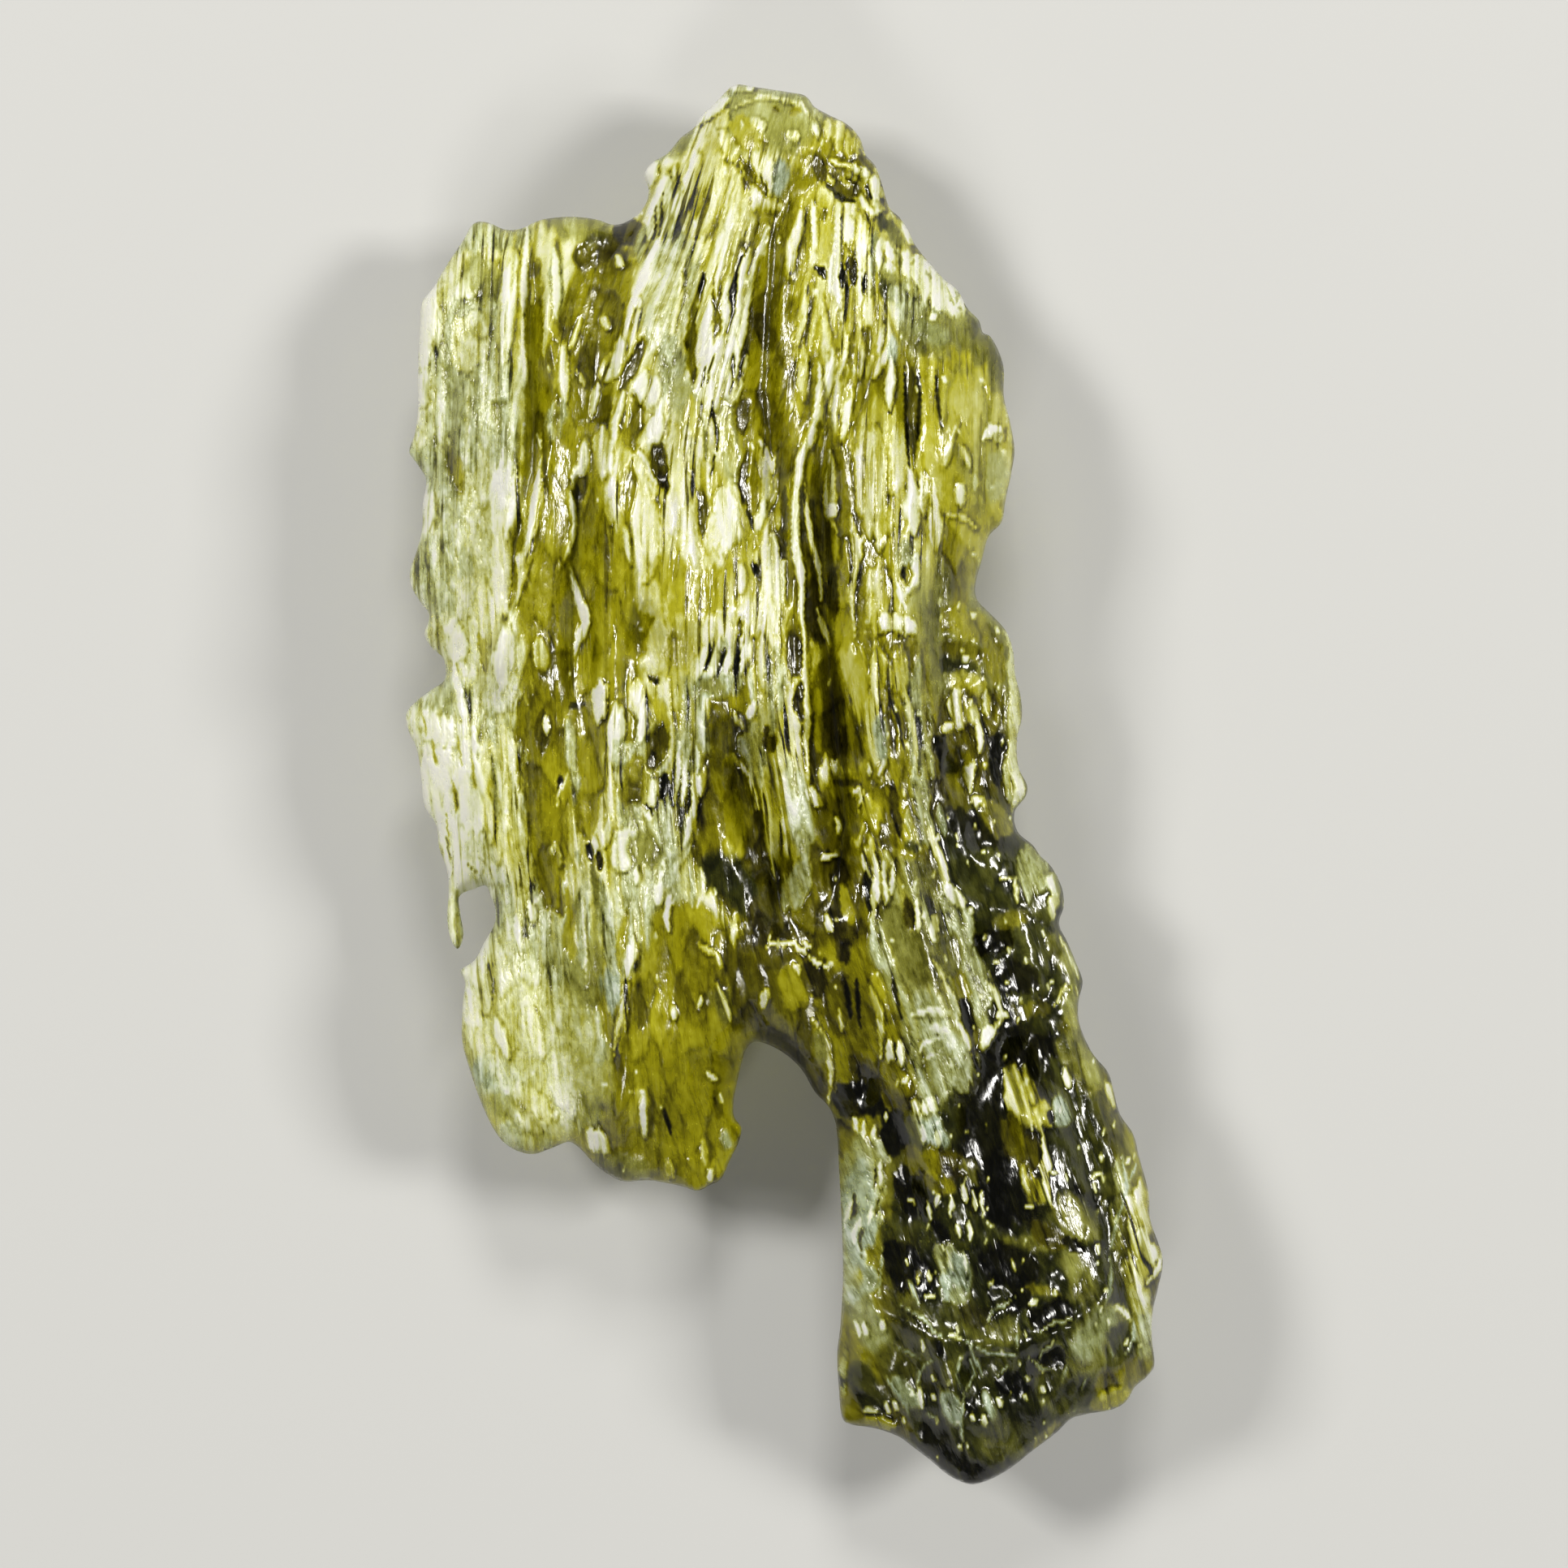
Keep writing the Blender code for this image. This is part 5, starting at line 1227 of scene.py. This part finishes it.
@dataclass(frozen=True)
class FlowRibs:
    """A node tree that raises flutes, scales, cells and crinkles on the flake's skin.

    Heights are in millimetres. A ramp is where it starts and stops on its pattern, and the shares of the
    height that it has there.
    """

    pattern: FlowPattern
    flute_height: float = 0.075
    flute_ramp: tuple = (0.28, 0.66, -0.6, 0.4)
    scale_height: float = 0.080
    scale_middle: float = 0.45
    scale_slope: float = 0.9
    seam_ramp: tuple = (0.0, 0.10, 1.0, 0.0)
    seam_depth: float = 0.4
    cell_depth: float = 0.06
    cell_ramp: tuple = (0.0, 0.30, 0.5, -0.5)
    crinkle_height: float = 0.030

    def socket_values(self) -> dict[str, float]:
        """The tree's named inputs and their values, in millimetres."""
        return {
            "Flute Height": self.flute_height,
            "Scale Height": self.scale_height,
            "Cell Depth": self.cell_depth,
            "Crinkle Height": self.crinkle_height,
        }

    def tree(self) -> bpy.types.NodeTree:
        """Builds the node tree.

        Returns:
            The tree, which takes the skin, the heights and the glass.
        """
        tree = bpy.data.node_groups.new("flow_ribs", "GeometryNodeTree")
        tree.interface.new_socket("Geometry", in_out="INPUT", socket_type="NodeSocketGeometry")
        for name, value in self.socket_values().items():
            socket = tree.interface.new_socket(name, in_out="INPUT", socket_type="NodeSocketFloat")
            socket.default_value = value
        tree.interface.new_socket("Glass", in_out="INPUT", socket_type="NodeSocketMaterial")
        tree.interface.new_socket("Geometry", in_out="OUTPUT", socket_type="NodeSocketGeometry")
        graph = Graph(tree)
        given = graph.add("NodeGroupInput")

        stream = self.pattern.stream(graph, self.attribute(graph, "flow", "FLOAT_VECTOR"))
        height, seam = self.relief(graph, given, stream)
        lift = graph.math("MULTIPLY", height, self.attribute(graph, "room", "FLOAT"))
        offset = graph.add("ShaderNodeCombineXYZ", 0.0, 0.0, graph.math("MULTIPLY", lift, MM)).outputs[0]
        sockets = {"Geometry": given.outputs["Geometry"], "Offset": offset}
        mesh = graph.add("GeometryNodeSetPosition", named=sockets).outputs[0]
        mesh = self.store(graph, mesh, "lift", "FLOAT", height)
        mesh = self.store(graph, mesh, "seam", "FLOAT", seam)
        mesh = self.store(graph, mesh, "stream", "FLOAT_VECTOR", stream)
        real = graph.add("GeometryNodeRealizeInstances", mesh).outputs[0]
        sockets = {"Geometry": real, "Material": given.outputs["Glass"]}
        graph.add("NodeGroupOutput", graph.add("GeometryNodeSetMaterial", named=sockets).outputs[0])
        return tree

    def relief(self, graph: Graph, given: bpy.types.Node, stream: object) -> tuple[object, object]:
        """The relief on the skin.

        Args:
            graph: Where the nodes go.
            given: The node of the tree's inputs.
            stream: The flow's grid, made to wander.

        Returns:
            Its height, and how near a place is to a seam between two scales, from 0 to 1.
        """
        flute = graph.ramp(self.pattern.ribs(graph, stream, self.pattern.flutes), *self.flute_ramp)
        own, down, border = self.pattern.scales(graph, stream)
        seam = graph.ramp(border, *self.seam_ramp)
        scale = graph.math("SUBTRACT", own, self.scale_middle)
        scale = graph.math("SUBTRACT", scale, graph.math("MULTIPLY", seam, self.seam_depth))
        scale = graph.math("MULTIPLY_ADD", down, self.scale_slope, scale)
        place = self.attribute(graph, "flow", "FLOAT_VECTOR")
        bowl = graph.ramp(self.pattern.bowls(graph, place), *self.cell_ramp)
        crinkle = graph.math("SUBTRACT", self.pattern.crinkles(graph, stream), 0.5)
        height = 0.0
        for trait, shape, name in (
            ("fibre", flute, "Flute Height"),
            ("scale", scale, "Scale Height"),
            ("cells", bowl, "Cell Depth"),
            ("crinkle", crinkle, "Crinkle Height"),
        ):
            part = graph.math("MULTIPLY", shape, given.outputs[name])
            part = graph.math("MULTIPLY", part, self.attribute(graph, trait, "FLOAT"))
            height = graph.math("ADD", part, height)
        return height, seam

    def store(self, graph: Graph, mesh: object, name: str, kind: str, value: object) -> Socket:
        """The mesh with a value kept at each of its points."""
        sockets = {"Geometry": mesh, "Name": name, "Value": value}
        node = graph.add("GeometryNodeStoreNamedAttribute", named=sockets, data_type=kind, domain="POINT")
        return node.outputs[0]

    def attribute(self, graph: Graph, name: str, kind: str) -> Socket:
        """The value of one of the skin's own attributes."""
        node = graph.add("GeometryNodeInputNamedAttribute", named={"Name": name}, data_type=kind)
        return node.outputs["Attribute"]

    def raise_on(self, skin: bpy.types.Object, glass: bpy.types.Material) -> None:
        """Raises the ribs on the skin and leaves them as a plain mesh.

        Args:
            skin: The flake's skin, with its attributes.
            glass: The material that it gets.
        """
        tree = self.tree()
        modifier = skin.modifiers.new("flow_ribs", "NODES")
        modifier.node_group = tree
        names = {s.name: s.identifier for s in tree.interface.items_tree if s.in_out == "INPUT"}
        for name, value in self.socket_values().items():
            modifier[names[name]] = value
        modifier[names["Glass"]] = glass
        bpy.context.view_layer.update()
        graph = bpy.context.evaluated_depsgraph_get()
        mesh = bpy.data.meshes.new_from_object(skin.evaluated_get(graph))
        skin.modifiers.clear()
        skin.data = mesh


def linear(shown: tuple[int, int, int]) -> tuple[float, float, float, float]:
    """A colour as a screen shows it, from 0 to 255, made linear for a shader."""
    share = np.array(shown) / 255
    plain = np.where(share < 0.04045, share / 12.92, ((share + 0.055) / 1.055) ** 2.4)
    return (*plain.tolist(), 1.0)


@dataclass(frozen=True)
class OliveGlass:
    """The finish: olive glass that is frosted on its ribs and clear in its hollows, with painted light and
    shade.

    A ramp is where it starts and stops on its pattern, and its values there. Painted light and shade move the
    level where the pattern and the trait that carries it are strong.
    """

    MIX_INPUTS: ClassVar[tuple] = (0, 6, 7)  # a share and two colours, among a mixing node's inputs
    MIX_OUTPUT: ClassVar[int] = 2
    pattern: FlowPattern
    ior: float = 1.49
    shine: float = 0.34
    transmission: float = 0.55
    absorption: tuple[float, float, float] = (0.72, 0.70, 0.28)
    density: float = 120.0
    relief_light: float = 3.4  # painted light for each millimetre that the relief stands up, and painted shade where it sinks
    groove_ramp: tuple = (0.33, 0.43, 1.0, 0.0)
    groove_shade: float = -0.44
    crest_ramp: tuple = (0.46, 0.66, 0.0, 1.0)
    crest_light: float = 0.15
    seam_shade: float = -0.16
    # The crinkles paint small glints and specks of shade, and the cracks paint thin dark lines.
    crinkle_middle: float = 0.45
    crinkle_light: float = 0.5
    crack_middle: float = 0.52  # on the ribs' pattern
    crack_ramp: tuple = (0.0, 0.022, 1.0, 0.0)
    crack_shade: float = -0.20
    frost_swing: float = 0.4
    least_roughness: float = 0.05
    bump_strength: float = 0.8
    bump_depth: float = 0.00006
    groove_bump: float = -0.5
    least_crinkle: float = 0.18
    # Where on the level each colour stands, and the colour as a screen shows it.
    warm: tuple = (
        (0.00, (3, 3, 0)), (0.12, (36, 32, 3)), (0.25, (90, 85, 0)),
        (0.38, (152, 147, 6)), (0.50, (190, 186, 40)), (0.62, (212, 211, 112)),
        (0.74, (238, 240, 174)), (0.88, (255, 255, 228)), (1.00, (255, 255, 248)),
    )
    cool: tuple = (
        (0.00, (3, 4, 2)), (0.15, (32, 39, 12)), (0.30, (78, 86, 42)), (0.50, (132, 146, 112)),
        (0.70, (192, 208, 182)), (0.86, (244, 253, 244)), (1.00, (255, 255, 255)),
    )

    def material(self) -> bpy.types.Material:
        """Builds the material.

        Returns:
            The glass, which reads the skin's attributes.
        """
        material = bpy.data.materials.new("olive_glass")
        material.use_nodes = True
        material.node_tree.nodes.clear()
        graph = Graph(material.node_tree)
        stream = graph.add("ShaderNodeAttribute", attribute_name="stream").outputs["Vector"]
        ribs = self.pattern.ribs(graph, stream, self.pattern.lines)
        groove = graph.ramp(ribs, *self.groove_ramp)
        fine = self.pattern.crinkles(graph, stream)
        named = {
            "Base Color": self.colour(graph, ribs, groove, fine),
            "Roughness": self.roughness(graph, fine),
            "Normal": self.bump(graph, groove, fine),
            "IOR": self.ior,
            "Specular IOR Level": self.shine,
            "Transmission Weight": self.transmission,
        }
        shader = graph.add("ShaderNodeBsdfPrincipled", named=named).outputs[0]
        named = {"Color": (*self.absorption, 1.0), "Density": self.density}
        depth = graph.add("ShaderNodeVolumeAbsorption", named=named).outputs[0]
        graph.add("ShaderNodeOutputMaterial", named={"Surface": shader, "Volume": depth})
        return material

    def colour(self, graph: Graph, ribs: object, groove: object, fine: object) -> Socket:
        """The colour of the glass, with painted light and shade from its relief, ribs, seams, crinkles and
        cracks.

        Args:
            graph: Where the nodes go.
            ribs: The pattern of the fine ribs.
            groove: How deep a place is in a groove between them, from 0 to 1.
            fine: The fine crinkles.

        Returns:
            The colour.
        """
        fibre, scale, crinkle = (self.trait(graph, name) for name in ("fibre", "scale", "crinkle"))
        crest = graph.ramp(ribs, *self.crest_ramp)
        uneven = graph.math("SUBTRACT", fine, self.crinkle_middle)
        crack = graph.math("ABSOLUTE", graph.math("SUBTRACT", ribs, self.crack_middle))
        crack = graph.ramp(crack, *self.crack_ramp)
        level = self.trait(graph, "level")
        # Painted light and shade: high relief and crests lighter; low relief, grooves, seams and cracks
        # darker.
        level = graph.math("MULTIPLY_ADD", self.trait(graph, "lift"), self.relief_light, level)
        for mask, trait, amount in (
            (groove, fibre, self.groove_shade),
            (crest, fibre, self.crest_light),
            (self.trait(graph, "seam"), scale, self.seam_shade),
            (uneven, crinkle, self.crinkle_light),
            (crack, crinkle, self.crack_shade),
        ):
            level = graph.math("MULTIPLY_ADD", graph.math("MULTIPLY", mask, trait), amount, level)
        ladders = (self.ladder(graph, level, stops) for stops in (self.warm, self.cool))
        mixed = graph.add("ShaderNodeMix", data_type="RGBA")
        for place, value in zip(self.MIX_INPUTS, (self.trait(graph, "silver"), *ladders)):
            graph.feed(mixed.inputs[place], value)
        return mixed.outputs[self.MIX_OUTPUT]

    def roughness(self, graph: Graph, fine: object) -> Socket:
        """How rough the surface is, uneven with the fine crinkles."""
        swing = graph.math("SUBTRACT", fine, 0.5)
        rough = graph.math("MULTIPLY_ADD", swing, self.frost_swing, self.trait(graph, "roughness"))
        return graph.math("MAXIMUM", rough, self.least_roughness)

    def bump(self, graph: Graph, groove: object, fine: object) -> Socket:
        """Grooves and crinkles that are too fine for the mesh.

        Args:
            graph: Where the nodes go.
            groove: How deep a place is in a groove, from 0 to 1.
            fine: The fine crinkles.

        Returns:
            The normal.
        """
        cut = graph.math("MULTIPLY", groove, self.trait(graph, "fibre"))
        cut = graph.math("MULTIPLY", cut, self.groove_bump)
        share = graph.math("MAXIMUM", self.trait(graph, "crinkle"), self.least_crinkle)
        height = graph.math("MULTIPLY_ADD", fine, share, cut)
        named = {"Strength": self.bump_strength, "Distance": self.bump_depth, "Height": height}
        return graph.add("ShaderNodeBump", named=named).outputs[0]

    def trait(self, graph: Graph, name: str) -> Socket:
        """One of the skin's own numbers."""
        return graph.add("ShaderNodeAttribute", attribute_name=name).outputs["Fac"]

    def ladder(self, graph: Graph, level: object, stops: tuple) -> Socket:
        """The colour for a level.

        Args:
            graph: Where the nodes go.
            level: The level.
            stops: The places on the level and their colours.

        Returns:
            The colour.
        """
        node = graph.add("ShaderNodeValToRGB", level)
        steps = node.color_ramp.elements
        for _ in stops[2:]:
            steps.new(0.5)
        for step, (place, _) in zip(steps, stops):
            step.position = place
        for step, (_, shown) in zip(steps, stops):
            step.color = linear(shown)
        return node.outputs["Color"]


def put_in_scene(name: str, data: bpy.types.ID) -> bpy.types.Object:
    """A new object of the scene that shows the data."""
    made = bpy.data.objects.new(name, data)
    bpy.context.scene.collection.objects.link(made)
    return made


@dataclass
class Flake:
    """The flake of glass: its skin, its ribs and its finish.

    Sizes in plan are in drawing units, and heights are in metres.
    """

    top_cell: tuple[float, float] = (2.8, 4.1)
    base_cell: tuple[float, float] = (8.5, 11.5)
    edge_cell: float = 0.6  # of a cell's width is kept free beside the edge
    merged: float = 0.01
    edge_round: float = 15.0
    relief_start: float = 12.0
    flat_height: float = 0.00004
    flat_blend: float = 0.00030
    top_blend: float = 0.00015
    top_margin: float = 0.00006
    edge: Edge = field(default_factory=Edge)
    body: Body = field(default_factory=Body)
    flow: Flow = Flow()
    pattern: FlowPattern = FlowPattern()

    def build(self) -> bpy.types.Object:
        """Builds the flake and dresses it.

        Returns:
            The finished piece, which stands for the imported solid.
        """
        self.body.read(self.edge)
        skin = self.skin()
        FlowRibs(self.pattern).raise_on(skin, OliveGlass(self.pattern).material())
        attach(skin, "root")
        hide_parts(NODE)
        return skin

    def plan(self, cell: tuple[float, float]) -> tuple[np.ndarray, list[list[int]]]:
        """Divides the flake's plan into triangles that are longer along the flow.

        Args:
            cell: Width and length of the triangles' cells.

        Returns:
            The points, of which the edge's come first, and the corners of each triangle.
        """
        ring = self.edge.ring
        rows = []
        low, high = ring.min(0), ring.max(0)
        for k, y in enumerate(np.arange(low[1], high[1], cell[1])):
            x = np.arange(low[0], high[0], cell[0]) + cell[0] / 2 * (k % 2)
            rows.append(np.column_stack([x, np.full(len(x), y)]))
        grid = np.concatenate(rows)
        grid = grid[self.edge.inside(grid)]
        grid = grid[self.edge.gap(grid) > cell[0] * self.edge_cell]
        squash = np.array((1.0, cell[0] / cell[1]))
        places = [Vector(place) for place in np.concatenate([ring, grid]) * squash]
        borders = [(k, (k + 1) % len(ring)) for k in range(len(ring))]
        points, _, faces, *_ = delaunay_2d_cdt(places, borders, [], INSIDE_ONLY, self.merged)
        return np.array([tuple(point) for point in points]) / squash, faces

    def skin(self) -> bpy.types.Object:
        """Makes the closed skin, with the attributes that the ribs and the finish read.

        Returns:
            The skin before its ribs are raised.
        """
        upper, upper_faces = self.plan(self.top_cell)
        lower, lower_faces = self.plan(self.base_cell)
        shared = len(self.edge.ring)
        shift = len(upper) - shared
        turned = [[k if k < shared else k + shift for k in reversed(face)] for face in lower_faces]
        points = np.concatenate([upper, lower[shared:]])
        side = np.ones(len(points))
        side[len(upper):] = -1.0

        stream = self.flow.straight(points)
        paint = Paint(points, stream)
        paint.lay(drawn_strokes() + PaintedGlints().strokes(), side > 0)
        paint.lay(Underside().strokes(self.flow), side < 0)
        paint.vary()
        height, room = self.heights(points, side, paint.traits[:, RISE])

        mesh = bpy.data.meshes.new("moldavite_glass")
        places = np.column_stack([points * UNIT, height])
        mesh.from_pydata(places.tolist(), [], [list(face) for face in upper_faces] + turned)
        mesh.shade_smooth()
        flat = np.column_stack([stream / UNITS_PER_MM, np.zeros(len(points))])
        self.store(mesh, "flow", "FLOAT_VECTOR", flat)
        self.store(mesh, "room", "FLOAT", room)
        for name, values in zip(TRAITS, paint.traits.T):
            self.store(mesh, name, "FLOAT", values)
        return put_in_scene("moldavite_glass", mesh)

    def heights(
        self, points: np.ndarray, side: np.ndarray, rise: np.ndarray
    ) -> tuple[np.ndarray, np.ndarray]:
        """How high the skin lies, before its ribs are raised.

        Args:
            points: Places in drawing units.
            side: 1 for the places of the upper side, and -1 for those of the underside.
            rise: What the tones add to the ground at each place, in millimetres.

        Returns:
            The height of each place, and the share of the relief that it may have, which is negative on
            the underside.
        """
        gap = self.edge.gap(points)
        inward = np.clip(gap / self.edge_round, 0, 1)
        high = self.body.sample(self.body.top, points)
        low = self.body.sample(self.body.base, points)
        middle = (high + low) / 2
        half = (high - low) / 2 * np.sqrt(1 - (1 - inward) ** 2)
        room = side * smooth(gap / self.relief_start)
        clear = smooth((low - self.flat_height) / self.flat_blend)
        room = np.where(side < 0, room * clear, room)
        height = middle + side * half + rise * MM * room
        height = np.where(side < 0, np.maximum(height, 0.0), height)
        limit = CAD_BOX[1].z - self.top_margin
        over = (height - limit + self.top_blend) / self.top_blend
        height = np.where(over > 0, limit - self.top_blend * np.exp(-np.maximum(over, 0)), height)
        return height, room

    def store(self, mesh: bpy.types.Mesh, name: str, kind: str, values: np.ndarray) -> None:
        """Keeps one value for each point of the mesh as an attribute."""
        key = {"FLOAT": "value", "FLOAT_VECTOR": "vector"}[kind]
        made = mesh.attributes.new(name, kind, "POINT")
        made.data.foreach_set(key, values.astype(np.float32).ravel())


@dataclass(frozen=True)
class SoftBox:
    """One soft rectangular lamp that looks at the flake."""

    name: str
    place: tuple[float, float, float]
    width: float
    height: float
    power: float
    colour: tuple[float, float, float] = (1.0, 0.985, 0.94)

    def put(self, target: Vector) -> None:
        """Hangs the lamp and turns it.

        Args:
            target: The place that it looks at.
        """
        lamp = bpy.data.lights.new(self.name, "AREA")
        lamp.shape = "RECTANGLE"
        lamp.size = self.width
        lamp.size_y = self.height
        lamp.energy = self.power
        lamp.color = self.colour
        thing = put_in_scene(self.name, lamp)
        thing.location = self.place
        thing.rotation_euler = (target - Vector(self.place)).to_track_quat("-Z", "Y").to_euler()


@dataclass
class Studio:
    """The pale floor, the lamps and the camera that looks straight down as the photograph does."""

    floor_drop: float = 0.00002
    floor_half: float = 0.6
    floor_colour: tuple[float, float, float] = (0.36, 0.36, 0.355)
    floor_roughness: float = 0.9
    sky_colour: tuple[float, float, float] = (1.0, 1.0, 0.98)
    sky_strength: float = 0.09
    view_width: float = 0.03864
    lens: float = 120.0
    sensor: float = 36.0
    nearest_seen: float = 0.005
    aim_height: float = 0.0028
    lamps: tuple[SoftBox, ...] = (
        SoftBox("left_box", (-0.22, 0.10, 0.20), 0.08, 0.06, 0.95),
        SoftBox("right_box", (0.24, 0.04, 0.18), 0.08, 0.06, 0.95),
        SoftBox("far_box", (0.02, 0.26, 0.20), 0.09, 0.06, 0.7),
        SoftBox("near_box", (-0.04, -0.26, 0.20), 0.09, 0.06, 0.4),
    )

    def build(self) -> None:
        """Builds the floor, the lamps and the camera."""
        self.floor()
        self.sky()
        target = Vector((0, 0, self.aim_height))
        for lamp in self.lamps:
            lamp.put(target)
        self.camera(target)
        bpy.context.scene.view_settings.view_transform = "Standard"

    def floor(self) -> None:
        """Lays the pale floor."""
        half = self.floor_half
        corners = [(x * half, y * half, -self.floor_drop) for x, y in ((-1, -1), (1, -1), (1, 1), (-1, 1))]
        mesh = bpy.data.meshes.new("floor")
        mesh.from_pydata(corners, [], [(0, 1, 2, 3)])
        material = bpy.data.materials.new("pale_floor")
        material.use_nodes = True
        shader = material.node_tree.nodes["Principled BSDF"]
        shader.inputs["Base Color"].default_value = (*self.floor_colour, 1.0)
        shader.inputs["Roughness"].default_value = self.floor_roughness
        mesh.materials.append(material)
        put_in_scene("floor", mesh)

    def sky(self) -> None:
        """Gives the room an even light."""
        world = bpy.data.worlds.new("room")
        world.use_nodes = True
        back = world.node_tree.nodes["Background"]
        back.inputs["Color"].default_value = (*self.sky_colour, 1.0)
        back.inputs["Strength"].default_value = self.sky_strength
        bpy.context.scene.world = world

    def camera(self, target: Vector) -> None:
        """Hangs the camera, looking straight down.

        Args:
            target: The place that it looks at.
        """
        data = bpy.data.cameras.new("camera")
        data.lens = self.lens
        data.sensor_width = self.sensor
        data.sensor_fit = "AUTO"
        data.clip_start = self.nearest_seen
        camera = put_in_scene("camera", data)
        camera.location = target + Vector((0, 0, self.view_width * self.lens / self.sensor))
        bpy.context.scene.camera = camera


def report(piece: bpy.types.Object) -> None:
    """Logs a piece's size and how many faces it has."""
    places = np.array([v.co[:] for v in piece.data.vertices]) / MM
    spread = places.max(0) - places.min(0)
    log.info("%s: %d faces, %.2f x %.2f x %.2f mm", piece.name, len(piece.data.polygons), *spread)


def main() -> None:
    """Builds the flake and the studio, and reports the flake."""
    logging.basicConfig(level=logging.INFO, format="%(message)s")
    flake = Flake().build()
    report(flake)
    Studio().build()


if __name__ == "__main__":
    main()
